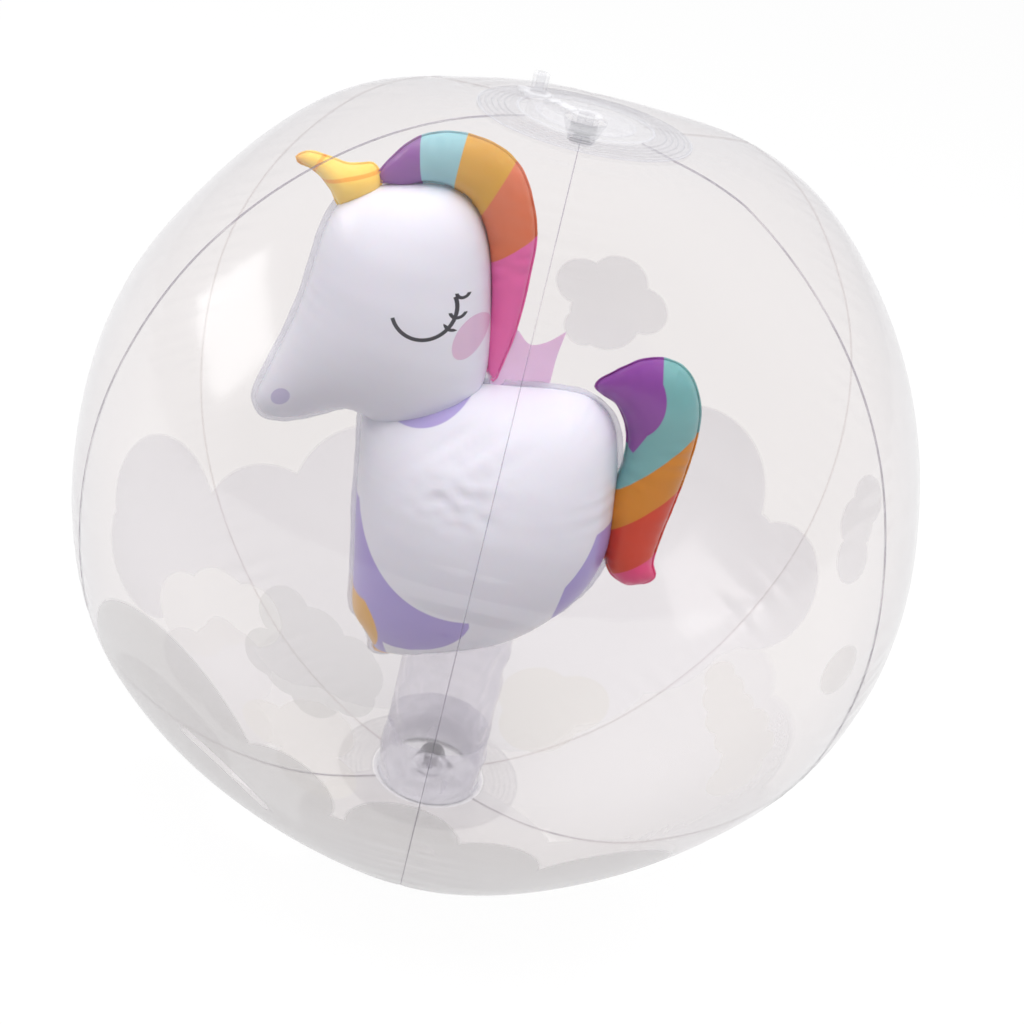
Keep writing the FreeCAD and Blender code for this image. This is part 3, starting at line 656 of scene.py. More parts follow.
# Radii of the lines that show on a cap, and the spacing of its weld rings.
RING_PITCH_MM = 2.4
OPENING_LINE_MM = 26.6
CAP_LINE_MM = 41.8
FLANGE_LINE_MM = 19.2


def cap_finish(looks):
    """A cap's film: a little denser, with its raised weld rings picked out in painted shade and its edges
    drawn as grey lines.
    """
    finish = Finish("cap_film")
    where, (x, y, z) = finish.place()
    radius = ((x * x + y * y).root()) * 1000
    wave = finish.node("Math", {"operation": "SINE"}, {0: radius * (2 * math.pi / RING_PITCH_MM) + 0.9})
    band = radius.rise(28.5, 30.5) * radius.fall(41.4, 42.2)
    lines = wave.rise(0.55, 0.95) * band
    hole = (abs(radius - OPENING_LINE_MM)).fall(0.25, 0.6)
    rim = (abs(radius - CAP_LINE_MM)).fall(0.2, 0.6)
    weld = (abs(radius - FLANGE_LINE_MM)).fall(0.3, 0.9)
    bump = finish.bump(finish.noise(where, 110.0, 3.0) + lines * 0.5, 0.5, 0.0008)
    film = film_shader(finish, looks, bump, 0.6, (0.985, 0.982, 0.985))
    haze = finish.solid((0.64, 0.65, 0.72), 0.3, bump)
    cloudy = finish.noise(where, 60.0).rise(0.45, 0.8)
    # Painted shade: grey lines stand for the weld rings catching the light, added to lines at the opening,
    # cap and flange edges. All of them are fainter on the lower cap.
    ring_shade_and_edges = lines * 0.12 + hole * 0.2 + rim * 0.15 + weld * 0.1
    dim = 0.02 + ring_shade_and_edges * (0.3 + z.rise(0.1, 0.2) * 0.7) + cloudy * 0.04
    return finish.show(finish.mix_shaders(dim.at_most(0.8), film, haze))


def vinyl_finish(looks, name="clear_vinyl", cover=0.12):
    """Soft clear moulding: a pale body seen through a wet gloss."""
    finish = Finish(name)
    where, _ = finish.place()
    bump = finish.bump(finish.noise(where, 220.0, 3.0), 0.45, 0.0006)
    solid = finish.solid(looks.vinyl, 0.16, bump, {"Coat Weight": 0.4})
    share = cover + (finish.facing(bump) ** 2) * 0.26
    return finish.show(finish.mix_shaders(share.at_most(0.95), finish.clear((0.97, 0.97, 0.975)), solid))


def dress(node, material):
    """Gives a CAD node that keeps its shape a better finish."""
    piece = frame["nodes"][node]
    piece.data.materials.clear()
    piece.data.materials.append(material)


class BEACHBALL_OT_caps(bpy.types.Operator):
    """Finishes the two polar caps"""

    bl_idname = "beach_ball.caps"
    bl_label = "Finish caps"

    def execute(self, context):
        finish = cap_finish(context.scene.ball_looks)
        for node in ("top_cap", "bottom_cap"):
            dress(node, finish)
        return {"FINISHED"}


def turned_shell(name, profile_points, material):
    """A closed ring of revolution about the ball's axis, from (radius, height) points."""
    points = []
    for radius, height in profile_points:
        for step in range(VALVE_SEGMENTS):
            turn = 2 * math.pi * step / VALVE_SEGMENTS
            points.append((radius * math.cos(turn), radius * math.sin(turn), height))
    rows = len(profile_points)
    faces = grid_faces(rows, VALVE_SEGMENTS, closed=True)
    top = (rows - 1) * VALVE_SEGMENTS
    for step in range(VALVE_SEGMENTS):
        following = (step + 1) % VALVE_SEGMENTS
        faces.append((top + step, top + following, following, step))
    return add_piece(name, points, faces, material)


def add_web(name, node, outward, material):
    """The thin cone that a valve turns inside out on, with the ripples of a moulded web."""
    low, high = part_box(node)
    root, foot = (high.z, low.z) if outward > 0 else (low.z, high.z)
    thick = 0.0007
    count = 14
    outer_side, inner_side = [], []
    for step in range(count + 1):
        share = step / count
        radius = high.x + (STEM_WAIST - high.x) * share
        height = root - outward * thick / 2 + (foot - root + outward * thick) * share
        height += 0.0002 * math.sin(share * 5 * math.pi) * math.sin(share * math.pi)
        outer_side.append((radius, height + thick / 2))
        inner_side.append((radius, height - thick / 2))
    piece = turned_shell(name, outer_side + inner_side[::-1], material)
    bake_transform(piece)
    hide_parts(node)


def strap_section(half_width, thickness):
    """Cross-section of a strap as (across, up): flat underneath, two edge beads and a low middle rib."""
    top = [
        (-1.0, 0.35), (-0.96, 0.8), (-0.86, 1.0), (-0.72, 0.98), (-0.6, 0.72), (-0.32, 0.7), (-0.16, 0.92),
        (0.16, 0.92), (0.32, 0.7), (0.6, 0.72), (0.72, 0.98), (0.86, 1.0), (0.96, 0.8), (1.0, 0.35),
    ]
    under = [(0.94, 0.02), (0.5, 0.0), (0.0, 0.0), (-0.5, 0.0), (-0.94, 0.02)]
    return [(x * half_width, y * thickness) for x, y in top + under]


def sweep_strap(name, route, side, thickness, material):
    """A strap along a route of (point, up) pairs."""
    section = strap_section(STRAP_HALF_WIDTH, thickness)
    points = []
    for point, up in route:
        for across, rise in section:
            points.append(Vector(point) + side * across + Vector(up) * rise)
    count = len(section)
    faces = grid_faces(len(route), count, closed=True)
    last = (len(route) - 1) * count
    faces.append(tuple(range(count - 1, -1, -1)))
    faces.append(tuple(last + step for step in range(count)))
    return add_piece(name, points, faces, material)


def top_straps(material):
    """The upper strap in two lengths, split part way from the rim to the plug's head."""
    low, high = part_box("top_valve_strap")
    swing = JOINTS["top_plug_swing"]
    pivot = Vector(swing["pos_m"])
    way = Vector((pivot.x, pivot.y, 0)).normalized()
    side = Vector((-way.y, way.x, 0))
    rim, head = STRAP_RIM_REACH, 2 * math.hypot(pivot.x, pivot.y) - PLUG_HEAD_REACH
    split = rim + (head - rim) * 0.62
    thickness = high.z - low.z

    def route(start, end, count):
        steps = []
        for step in range(count + 1):
            reach = start + (end - start) * step / count
            share = (reach - rim) / (head - rim)
            lift = 0.0005 * math.sin(math.pi * share) + 0.00012 * math.sin(share * 17)
            steps.append((way * reach + Vector((0, 0, low.z + lift)), (0, 0, 1)))
        return steps

    inner = sweep_strap("top_strap_inner", route(rim, split, 20), side, thickness, material)
    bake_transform(inner)
    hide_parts("top_valve_strap")
    outer = sweep_strap("top_strap_outer", route(split, head, 12), side, thickness, material)
    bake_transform(outer)


def bottom_strap(material):
    """The lower strap, folded back on itself beside its plug."""
    low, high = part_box("bottom_valve_strap")
    azimuth = math.radians(35)
    way = Vector((math.cos(azimuth), math.sin(azimuth), 0))
    side = Vector((-way.y, way.x, 0))
    thickness = 0.001
    near_rim, near_head = high.z - thickness / 2, low.z + thickness / 2
    bend = (near_rim - near_head) / 2
    reach = 0.01138
    route = []
    for step in range(9):
        along = STRAP_RIM_REACH + (reach - STRAP_RIM_REACH) * step / 8
        route.append((way * along + Vector((0, 0, near_rim - thickness / 2)), (0, 0, 1)))
    for step in range(1, 12):
        turn = math.pi * step / 12
        out = way * math.sin(turn) + Vector((0, 0, math.cos(turn)))
        middle = way * reach + Vector((0, 0, (near_rim + near_head) / 2))
        route.append((middle + out * (bend - thickness / 2), out))
    for step in range(9):
        along = reach - (reach - PLUG_HEAD_REACH) * step / 8
        route.append((way * along + Vector((0, 0, near_head + thickness / 2)), (0, 0, -1)))
    strap = sweep_strap("bottom_strap_fold", route, side, thickness, material)
    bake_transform(strap)
    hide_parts("bottom_valve_strap")


class BEACHBALL_OT_valves(bpy.types.Operator):
    """Finishes the valve mouldings and adds their bending cones and straps"""

    bl_idname = "beach_ball.valves"
    bl_label = "Finish valves"

    def execute(self, context):
        looks = context.scene.ball_looks
        vinyl = vinyl_finish(looks)
        sheer = vinyl_finish(looks, "thin_vinyl", 0.05)
        for end in ("top", "bottom"):
            dress(f"{end}_valve_flange", sheer)
            for part in ("stem", "flap", "plug"):
                dress(f"{end}_valve_{part}", vinyl if end == "top" else sheer)
        add_web("top_web_cone", "top_valve_web", 1, sheer)
        add_web("bottom_web_cone", "bottom_valve_web", -1, sheer)
        top_straps(vinyl)
        bottom_strap(sheer)
        return {"FINISHED"}


def lilac_film(looks, name, cover):
    """The pillar's thin lilac-tinted film."""
    finish = Finish(name)
    where, _ = finish.place()
    bump = finish.bump(finish.noise(where, 70.0, 3.0), 0.5, 0.0015)
    solid = finish.solid(looks.lilac, 0.22, bump)
    facing, mirrored = film_mirror(finish, bump)
    patch = finish.noise(where, 40.0, 2.0).rise(0.35, 0.75)
    share = cover * (0.6 + patch * 0.5) + (facing**3) * 0.12
    body = finish.mix_shaders(share.at_most(0.9), finish.clear((0.965, 0.96, 0.98)), solid)
    return finish.show(finish.mix_shaders(mirrored, body, finish.gloss(0.12, bump)))


def wrinkled_tube(name, radius, bottom, top, folds, seed, material, foot=None, waist=0.0):
    """An upright tube of slack film with creases round it and a welded foot."""
    segments, rows = 120, 90
    points = []
    levels = [bottom + (top - bottom) * row / (rows - 1) for row in range(rows)]
    for height in levels:
        share = (height - bottom) / (top - bottom)
        fade = min(1.0, share / 0.08)
        for step in range(segments):
            turn = 2 * math.pi * step / segments
            round_place = Vector((math.cos(turn) * 1.6, math.sin(turn) * 1.6, height / 0.011 + seed))
            long_place = Vector((math.cos(turn) * 2.4, math.sin(turn) * 2.4, height / 0.045 + seed * 2))
            crease = noise.noise(round_place) * folds + noise.noise(long_place) * folds * 1.1
            reach = radius - abs(crease) * fade - waist * math.sin(math.pi * share)
            points.append((reach * math.cos(turn), reach * math.sin(turn), height))
    faces = grid_faces(rows, segments, closed=True)
    if foot is not None:
        first = len(points)
        for step in range(segments):
            turn = 2 * math.pi * step / segments
            points.append((foot * math.cos(turn), foot * math.sin(turn), bottom))
        for step in range(segments):
            following = (step + 1) % segments
            faces.append((step, following, first + following, first + step))
    return add_piece(name, points, faces, material)


class BEACHBALL_OT_pillar(bpy.types.Operator):
    """Adds the clear pillar tube and the sleeve at its foot"""

    bl_idname = "beach_ball.pillar"
    bl_label = "Add pillar"

    def execute(self, context):
        looks = context.scene.ball_looks
        low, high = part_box("pillar")
        sleeve_low, sleeve_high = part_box("pillar_sleeve")
        radius, foot = 0.0235, high.x
        film = lilac_film(looks, "pillar_film", 0.26)
        tube = wrinkled_tube("pillar_tube", radius, low.z + 0.0002, high.z, 0.0022, 3, film, foot)
        sleeve = wrinkled_tube(
            "pillar_sleeve_film", sleeve_high.x, sleeve_low.z, sleeve_high.z, 0.0016, 8,
            lilac_film(looks, "sleeve_film", 0.5), waist=-0.0006,
        )
        for piece, node in ((tube, "pillar"), (sleeve, "pillar_sleeve")):
            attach(piece, "ball")
            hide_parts(node)
        return {"FINISHED"}


# The unicorn


OUTLINE_STEP = 1.5


def smooth_loop(corners, step, sharp=()):
    """Points about step apart on a closed curve through the corners, which stay sharp where listed."""
    given = np.array(corners, float)
    count = len(given)
    chords = np.linalg.norm(np.roll(given, -1, axis=0) - given, axis=1)
    fine = []
    for i in range(count):
        before, here, there, after = (given[(i + k) % count] for k in (-1, 0, 1, 2))
        lead, run, tail = (chords[(i + k) % count] for k in (-1, 0, 1))
        way_in = (there - before) / (lead + run) * run
        way_out = (after - here) / (run + tail) * run
        if i in sharp:
            way_in = there - here
        if (i + 1) % count in sharp:
            way_out = there - here
        t = np.linspace(0, 1, 16, endpoint=False)[:, None]
        fine.append(
            (2 * t**3 - 3 * t**2 + 1) * here
            + (t**3 - 2 * t**2 + t) * way_in
            + (3 * t**2 - 2 * t**3) * there
            + (t**3 - t**2) * way_out
        )
    fine = np.vstack(fine)
    closed = np.vstack([fine, fine[:1]])
    along = np.concatenate([[0], np.cumsum(np.linalg.norm(np.diff(closed, axis=0), axis=1))])
    at = np.linspace(0, along[-1], int(round(along[-1] / step)), endpoint=False)
    loop = np.column_stack([np.interp(at, along, closed[:, k]) for k in (0, 1)])
    following = np.roll(loop, -1, axis=0)
    area = np.sum(loop[:, 0] * following[:, 1] - following[:, 0] * loop[:, 1]) / 2
    return loop if area > 0 else loop[::-1]


def outward(loop):
    """Outward normals of an anticlockwise loop."""
    along = np.roll(loop, -1, axis=0) - np.roll(loop, 1, axis=0)
    along /= np.linalg.norm(along, axis=1, keepdims=True)
    return np.column_stack([along[:, 1], -along[:, 0]])


def nearest_edge(points, loop):
    """Distance from each point to the loop, and how far along the loop the nearest place is."""
    run = np.roll(loop, -1, axis=0) - loop
    length = np.linalg.norm(run, axis=1)
    start = np.concatenate([[0], np.cumsum(length)[:-1]])
    away = points[:, None, :] - loop[None]
    share = np.clip((away * run).sum(2) / (length**2), 0, 1)
    gap = np.linalg.norm(away - share[..., None] * run, axis=2)
    which = gap.argmin(axis=1)
    rows = np.arange(len(points))
    return gap[rows, which], start[which] + share[rows, which] * length[which]


def inside(points, loop):
    """Whether each point is inside the loop."""
    following = np.roll(loop, -1, axis=0)
    x, y = points[:, 0][:, None], points[:, 1][:, None]
    spans = (loop[:, 1] > y) != (following[:, 1] > y)
    rise = following[:, 1] - loop[:, 1]
    rise = np.where(np.abs(rise) < 1e-12, 1e-12, rise)
    crossing = loop[:, 0] + (y - loop[:, 1]) * (following[:, 0] - loop[:, 0]) / rise
    return (spans & (x < crossing)).sum(axis=1) % 2 == 1


def fill(loop, spacing):
    """Points and triangles that fill a loop, with close rows beside its edge."""
    normals = outward(loop)
    layers = [loop]
    for depth in (0.25, 0.8, 1.7):
        row = loop - normals * depth
        reach, _ = nearest_edge(row, loop)
        layers.append(row[(reach > depth * 0.93) & inside(row, loop)])
    low, high = loop.min(axis=0), loop.max(axis=0)
    grid = []
    for row, up in enumerate(np.arange(low[1], high[1], spacing * 0.87)):
        for along in np.arange(low[0] + (row % 2) * spacing / 2, high[0], spacing):
            grid.append((along, up))
    grid = np.array(grid)
    reach, _ = nearest_edge(grid, loop)
    layers.append(grid[inside(grid, loop) & (reach > 1.7 + spacing * 0.6)])
    points = np.vstack(layers)
    count = len(loop)
    edges = [(i, (i + 1) % count) for i in range(count)]
    made = geometry.delaunay_2d_cdt([Vector(point) for point in points], edges, [], 1, 1e-5)
    return np.array([tuple(point) for point in made[0]]), np.array(made[2])


def swell(points, triangles, rim):
    """Height of film inflated over a flat outline, from 0 at its rim to 1 at its fullest place.

    It is the root of the sag of an evenly loaded membrane, which is round on a round outline.
    """
    count = len(points)
    first, second, weight = [], [], []
    load = np.zeros(count)
    for a, b, c in ((0, 1, 2), (1, 2, 0), (2, 0, 1)):
        near, far, top = triangles[:, a], triangles[:, b], triangles[:, c]
        one, two = points[near] - points[top], points[far] - points[top]
        cross = np.abs(one[:, 0] * two[:, 1] - one[:, 1] * two[:, 0])
        cotangent = (one * two).sum(axis=1) / np.maximum(cross, 1e-9) / 2
        first += [near, far]
        second += [far, near]
        weight += [cotangent, cotangent]
        load += np.bincount(top, cross / 6, minlength=count)
    first, second, weight = map(np.concatenate, (first, second, weight))
    total = np.bincount(first, weight, minlength=count)
    free = ~rim

    def pull(field):
        return (total * field - np.bincount(first, weight * field[second], minlength=count)) * free

    sag = np.zeros(count)
    left = load * free
    way = left.copy()
    size = left @ left
    for _ in range(1500):
        response = pull(way)
        step = size / (way @ response)
        sag += step * way
        left -= step * response
        following = left @ left
        if following < 1e-12 * count:
            break
        way = left + following / size * way
        size = following
    return np.sqrt(np.clip(sag / sag.max(), 0, None))


def figure_point(sizes, along_mm, out_mm, up_mm):
    """A place in the unicorn's own frame, in the row frame. Its left side is towards -Y."""
    lean = sizes.lean
    along, up = along_mm * MM, up_mm * MM
    x = along * math.cos(lean) - up * math.sin(lean)
    z = sizes.ground_height + along * math.sin(lean) + up * math.cos(lean)
    return (x, out_mm * MM, z)


def puckers(along, reach, seed, depth, spacing, run):
    """Height of the gathers beside a weld."""
    heights = []
    for place, gap in zip(along, reach):
        strength = 0.3 + max(0.0, ripple(place, seed, 26.0) * 2.4)
        turn = 2 * math.pi * (place / spacing + 1.3 * ripple(place, seed + 4, 17.0))
        heights.append(strength * math.sin(turn) * math.exp(-gap / run) * min(1.0, gap / 0.8))
    return depth * np.array(heights)


def add_chamber(
    sizes, name, nodes, outline, half_mm, material, seed,
    flange_mm=1.2, gather=0.35, dent=None, weld=None,
):
    """Two inflated panels welded along an outline, and the flat weld outside it."""
    loop = smooth_loop(outline, OUTLINE_STEP)
    points, triangles = fill(loop, sizes.mesh_mm)
    reach, along = nearest_edge(points, loop)
    rim = reach < 0.02
    height = swell(points, triangles, rim) * half_mm
    for label, side, node, offset in (("left", -1, nodes[0], 0), ("right", 1, nodes[1], 31)):
        bulge = height + puckers(along, reach, seed + offset, gather, 7.5, 9.0) * ~rim
        bulge += np.array([ripple(p[0] + 3 * p[1], seed + offset + 2, 31.0) for p in points]) * 0.25 * ~rim
        if dent is not None:
            bulge -= dent(points) * ~rim
        places = [figure_point(sizes, p[0], side * max(b, 0.0), p[1]) for p, b in zip(points, bulge)]
        order = triangles if side < 0 else triangles[:, ::-1]
        piece = add_piece(f"{name}_{label}_film", places, order, material)
        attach(piece, "ball")
        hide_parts(node)
    add_flange(sizes, f"{name}_weld", loop, flange_mm, weld or material, seed)


def add_flange(sizes, name, loop, width_mm, material, seed):
    """The flat double film outside a weld, a little wavy."""
    normals = outward(loop)
    section = ((0.0, 0.14), (0.5, 0.16), (1.0, 0.12), (1.0, -0.12), (0.5, -0.16), (0.0, -0.14))
    points = []
    for index, (place, normal) in enumerate(zip(loop, normals)):
        along = index * OUTLINE_STEP
        wobble = 2 * math.pi * along / 8.5 + 3 * ripple(along, seed, 19.0)
        wave = 0.35 * math.sin(wobble) + ripple(along, seed, 33.0)
        wide = width_mm * (1 + 0.12 * ripple(along, seed + 3, 11.0))
        for reach, lift in section:
            across = place + normal * (wide * reach - 0.1)
            points.append(figure_point(sizes, across[0], lift + wave * reach * 0.8, across[1]))
    count = len(loop)
    faces = grid_faces(count, 6, closed=True)
    last = (count - 1) * 6
    for step in range(6):
        following = (step + 1) % 6
        faces.append((last + step, last + following, following, step))
    piece = add_piece(name, points, faces, material)
    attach(piece, "ball")


def weld_finish(looks):
    """The white chambers' flat weld: pale film that light shows through."""
    finish = Finish("unicorn_weld")
    where, _ = finish.place()
    bump = finish.bump(finish.noise(where, 300.0, 2.0), 0.4, 0.0005)
    solid = finish.solid(looks.white, 0.25, bump)
    return finish.show(finish.mix_shaders(0.35, finish.clear((0.98, 0.98, 0.99)), solid))


def figure_wires(finish, sizes):
    """Where a place is in the unicorn's own frame: (along, up) wires in millimetres."""
    where, (x, y, z) = finish.place()
    raised = z - sizes.ground_height
    along = (x * math.cos(sizes.lean) + raised * math.sin(sizes.lean)) * 1000
    up = (raised * math.cos(sizes.lean) - x * math.sin(sizes.lean)) * 1000
    return where, along, up


def from_centre(along, up, centre):
    """Distance from a centre, in millimetres."""
    left, rise = along - centre[0], up - centre[1]
    return (left * left + rise * rise).root()


def oval(along, up, centre, halves, tilt):
    """1 at the edge of a tilted oval and less inside it."""
    turn = math.radians(tilt)
    left, rise = along - centre[0], up - centre[1]
    long_way = (left * math.cos(turn) + rise * math.sin(turn)) / halves[0]
    short_way = (rise * math.cos(turn) - left * math.sin(turn)) / halves[1]
    return (long_way * long_way + short_way * short_way).root()


def beyond(along, up, first, second):
    """Distance to the right of the line from first to second, in millimetres."""
    dx, dy = second[0] - first[0], second[1] - first[1]
    length = math.hypot(dx, dy)
    return (along - first[0]) * (dy / length) - (up - first[1]) * (dx / length)


def film_paint(finish, where, shade, roughness=0.3, smudge_share=0.02):
    """Glossy printed film: soft light inside it, fine grain, shallow creases and faint lilac-grey blotches.
    """
    grain = finish.noise(where, 1400.0, 2.0, 0.6)
    creases = finish.noise(where, 45.0, 3.0, 0.55)
    smudge = finish.noise(where, 18.0, 2.0)
    bump = finish.bump(creases + grain * 0.02, 0.28, 0.0016)
    # Faint lilac-grey blotches at random, mixed in up to the given share.
    tinted = finish.mix(smudge.rise(0.35, 0.75) * smudge_share, shade, (0.55, 0.54, 0.66))
    coat = {"Coat Weight": 0.25, "Coat Roughness": 0.12}
    depth = {"Subsurface Weight": 0.12, "Subsurface Scale": 0.004}
    return finish.solid(tinted, roughness + grain * 0.05 + smudge * 0.06, bump, {**coat, **depth})


def body_finish(sizes, looks):
    """White film with printed lilac legs, a gold hoof and a lilac shade under the jaw."""
    finish = Finish("unicorn_body_print")
    where, along, up = figure_wires(finish, sizes)
    belly = from_centre(along, up, (13, 84))
    shin = along.fall(-30, -29.6) * up.fall(80, 80.6)
    leg = from_centre(along, up, (-19, 44)).fall(31.6, 32.2).at_least(shin)
    leg = leg * belly.rise(49.7, 50.3) * along.fall(10, 10.5) * up.rise(-2, -1.5)
    rear = belly.rise(51.5, 52.1) * beyond(along, up, (43, 28), (49, 46)).rise(0, 0.5) * up.fall(68, 69)
    rear = rear * up.rise(22, 23)
    sole = up.fall(3, 3.5) * along.fall(-26, -25)
    hoof = from_centre(along, up, (-58, 20)).fall(26.2, 26.8).at_least(sole)
    hoof = hoof * up.fall(34, 36) * along.fall(-22, -21)
    jaw = from_centre(along, up, (-11, 146)).fall(29.6, 30.2) * up.fall(136, 140)
    shade = finish.mix(leg.at_least(rear).at_least(jaw * 0.85), looks.white, looks.lilac)
    shade = finish.mix(hoof, shade, looks.hoof)
    return finish.show(film_paint(finish, where, shade, smudge_share=0.08))


def head_finish(sizes, looks):
    """White film with a closed, lashed eye, a blushed cheek and a nostril."""
    finish = Finish("unicorn_head_print")
    where, along, up = figure_wires(finish, sizes)
    stroke = 0.72
    eye = (abs(from_centre(along, up, (-4.3, 168.2)) - 12.3)).fall(stroke, stroke + 0.15)
    eye = eye * beyond(along, up, (-17.5, 165.5), (9.5, 172.5)).rise(0, 0.2)
    ink = eye
    for centre, radius, first, second in (
        ((10.3, 173.1), 2.3, (6.5, 173.3), (14.0, 172.3)),
        ((8.3, 166.0), 2.9, (4.0, 165.9), (12.0, 164.9)),
        ((6.4, 161.4), 3.0, (2.0, 162.6), (8.4, 157.6)),
    ):
        lash = (abs(from_centre(along, up, centre) - radius)).fall(stroke * 0.8, stroke * 0.8 + 0.15)
        ink = ink.at_least(lash * beyond(along, up, first, second).rise(0, 0.2))
    cheek = oval(along, up, (12.0, 153.5), (9.6, 5.6), 62).fall(0.97, 1.01)
    nostril = oval(along, up, (-67.6, 124.6), (5.4, 3.3), 38).fall(0.96, 1.02)
    shade = finish.mix(cheek * 0.85, looks.white, looks.cheek)
    shade = finish.mix(nostril * 0.8, shade, looks.nostril)
    shade = finish.mix(ink, shade, looks.ink)
    return finish.show(film_paint(finish, where, shade, smudge_share=0.08))


def banded(finish, along, up, shade, bands):
    """The shade of film printed in bands, where each band starts beyond a line."""
    for first, second, next_shade in bands:
        shade = finish.mix(beyond(along, up, first, second).rise(-0.25, 0.25), shade, next_shade)
    return shade


def mane_finish(sizes, looks):
    finish = Finish("unicorn_mane_print")
    where, along, up = figure_wires(finish, sizes)
    bands = [
        ((-6.6, 212), (-6.4, 232), looks.teal),
        ((6.6, 212.5), (11.9, 231.2), looks.gold),
        ((17.6, 201.1), (30.0, 219.7), looks.coral),
        ((19.4, 179.6), (34.1, 188.0), looks.magenta),
    ]
    shade = banded(finish, along, up, looks.purple, bands)
    return finish.show(film_paint(finish, where, shade, 0.34))


def tail_finish(sizes, looks):
    finish = Finish("unicorn_tail_print")
    where, along, up = figure_wires(finish, sizes)
    drop = from_centre(along, up, (72, 124)).fall(17.6, 18.1)
    point = along.fall(88, 88.5)
    for first, second in (((76.5, 100), (90, 122)), ((60, 112), (76.5, 100))):
        point = point * beyond(along, up, first, second).fall(-0.25, 0.25)
    purple = drop.at_least(point)
    shade = finish.mix(purple, looks.tail_teal, looks.purple)
    bands = [
        ((71.3, 83.0), (101.1, 106.0), looks.tail_gold),
        ((66.0, 62.5), (91.2, 79.0), looks.tail_orange),
        ((67.0, 41.0), (85.5, 50.5), looks.tail_pink),
    ]
    shade = banded(finish, along, up, shade, bands)
    return finish.show(film_paint(finish, where, shade, 0.25))


def horn_finish(sizes, looks):
    finish = Finish("unicorn_horn_print")
    where, along, up = figure_wires(finish, sizes)
    shade = finish.mix(finish.noise(where, 90.0).rise(0.4, 0.7) * 0.3, looks.horn, (1.0, 0.72, 0.20))
    for first, second in (((-40, 213.2), (-25, 215.6)), ((-49, 216.5), (-45, 221.5))):
        stripe = (abs(beyond(along, up, first, second))).fall(0.55, 0.95)
        shade = finish.mix(stripe * 0.8, shade, looks.horn_band)
    tip = along.fall(-56, -50)
    shade = finish.mix(tip * 0.6, shade, looks.horn_band)
    return finish.show(film_paint(finish, where, shade, 0.25))


def pink_finish(looks):
    finish = Finish("unicorn_flick_print")
    where, _ = finish.place()
    shade = finish.mix(finish.noise(where, 60.0).rise(0.4, 0.7) * 0.2, looks.pink, (0.85, 0.6, 0.75))
    paint = film_paint(finish, where, shade, 0.3)
    return finish.show(finish.mix_shaders(0.8, finish.clear((0.95, 0.85, 0.93)), paint))


def round_spot(points, centre, reach):
    """1 at a centre, falling away smoothly over a reach (along, up)."""
    away = (points - np.array(centre)) / np.array(reach)
    return np.exp(-(away**2).sum(axis=1))


def creases(points):
    """Folds where the neck is squeezed, and slack dimples in the middle of the body, in millimetres."""
    folds = np.array([ripple(along * 1.3 - up * 2.2, 5, 6.0) for along, up in points])
    dimples = np.array([noise.noise(Vector((along / 6.5, up / 4.5, 3.0))) for along, up in points])
    neck = round_spot(points, (14, 112), (22, 9)) * (1.2 + 2.4 * folds)
    return neck + round_spot(points, (8, 92), (17, 13)) * (0.5 + 1.5 * dimples)


class BEACHBALL_OT_unicorn_body(bpy.types.Operator):
    """Adds the unicorn's body"""

    bl_idname = "beach_ball.unicorn_body"
    bl_label = "Add unicorn body"

    def execute(self, context):
        sizes, looks = context.scene.unicorn_sizes, context.scene.unicorn_looks
        nodes = ("body_left_panel", "body_right_panel")
        paint = body_finish(sizes, looks)

        add_chamber(
            sizes, "body", nodes, BODY_OUTLINE, sizes.body_half_mm, paint, 3,
            sizes.flange_mm, 0.45, creases, weld_finish(looks),
        )
        return {"FINISHED"}


class BEACHBALL_OT_unicorn_head(bpy.types.Operator):
    """Adds the unicorn's head and horn"""

    bl_idname = "beach_ball.unicorn_head"
    bl_label = "Add unicorn head and horn"

    def execute(self, context):
        sizes, looks = context.scene.unicorn_sizes, context.scene.unicorn_looks
        nodes = ("head_left_panel", "head_right_panel")
        paint = head_finish(sizes, looks)
        add_chamber(
            sizes, "head", nodes, HEAD_OUTLINE, sizes.head_half_mm, paint, 7,
            sizes.flange_mm, 0.3, weld=weld_finish(looks),
        )
        nodes = ("horn_left_panel", "horn_right_panel")
        paint = horn_finish(sizes, looks)
        add_chamber(
            sizes, "horn", nodes, HORN_OUTLINE, sizes.horn_half_mm, paint, 11, 0.8, 0.3
        )
        return {"FINISHED"}


class BEACHBALL_OT_unicorn_mane(bpy.types.Operator):
    """Adds the unicorn's mane with its flat end"""

    bl_idname = "beach_ball.unicorn_mane"
    bl_label = "Add unicorn mane"

    def execute(self, context):
        sizes, looks = context.scene.unicorn_sizes, context.scene.unicorn_looks
        nodes = ("mane_left_panel", "mane_right_panel")
        paint = mane_finish(sizes, looks)
        add_chamber(sizes, "mane", nodes, MANE_OUTLINE, sizes.mane_half_mm, paint, 13, 0.9)
        loop = smooth_loop(FLICK_OUTLINE, 1.2, FLICK_CORNERS)
        points, triangles = fill(loop, 1.8)
        places, order = [], []
        for side in (-1, 1):
            start = len(places)
            for along, up in points:
                curl = 2.2 * math.sin((along - 17) / 11) * (along - 17) / 32
                places.append(figure_point(sizes, along, curl + side * 0.25, up))
            order += [tuple(start + i for i in (tri if side < 0 else tri[::-1])) for tri in triangles]
        piece = add_piece("mane_flick_film", places, order, pink_finish(looks))
        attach(piece, "ball")
        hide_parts("mane_flick")
        return {"FINISHED"}


class BEACHBALL_OT_unicorn_tail(bpy.types.Operator):
    """Adds the unicorn's tail"""

    bl_idname = "beach_ball.unicorn_tail"
    bl_label = "Add unicorn tail"

    def execute(self, context):
        sizes, looks = context.scene.unicorn_sizes, context.scene.unicorn_looks
        nodes = ("tail_left_panel", "tail_right_panel")
        paint = tail_finish(sizes, looks)
        add_chamber(
            sizes, "tail", nodes, TAIL_OUTLINE, sizes.tail_half_mm, paint, 17, 0.9, 0.55
        )
        return {"FINISHED"}


# The stage


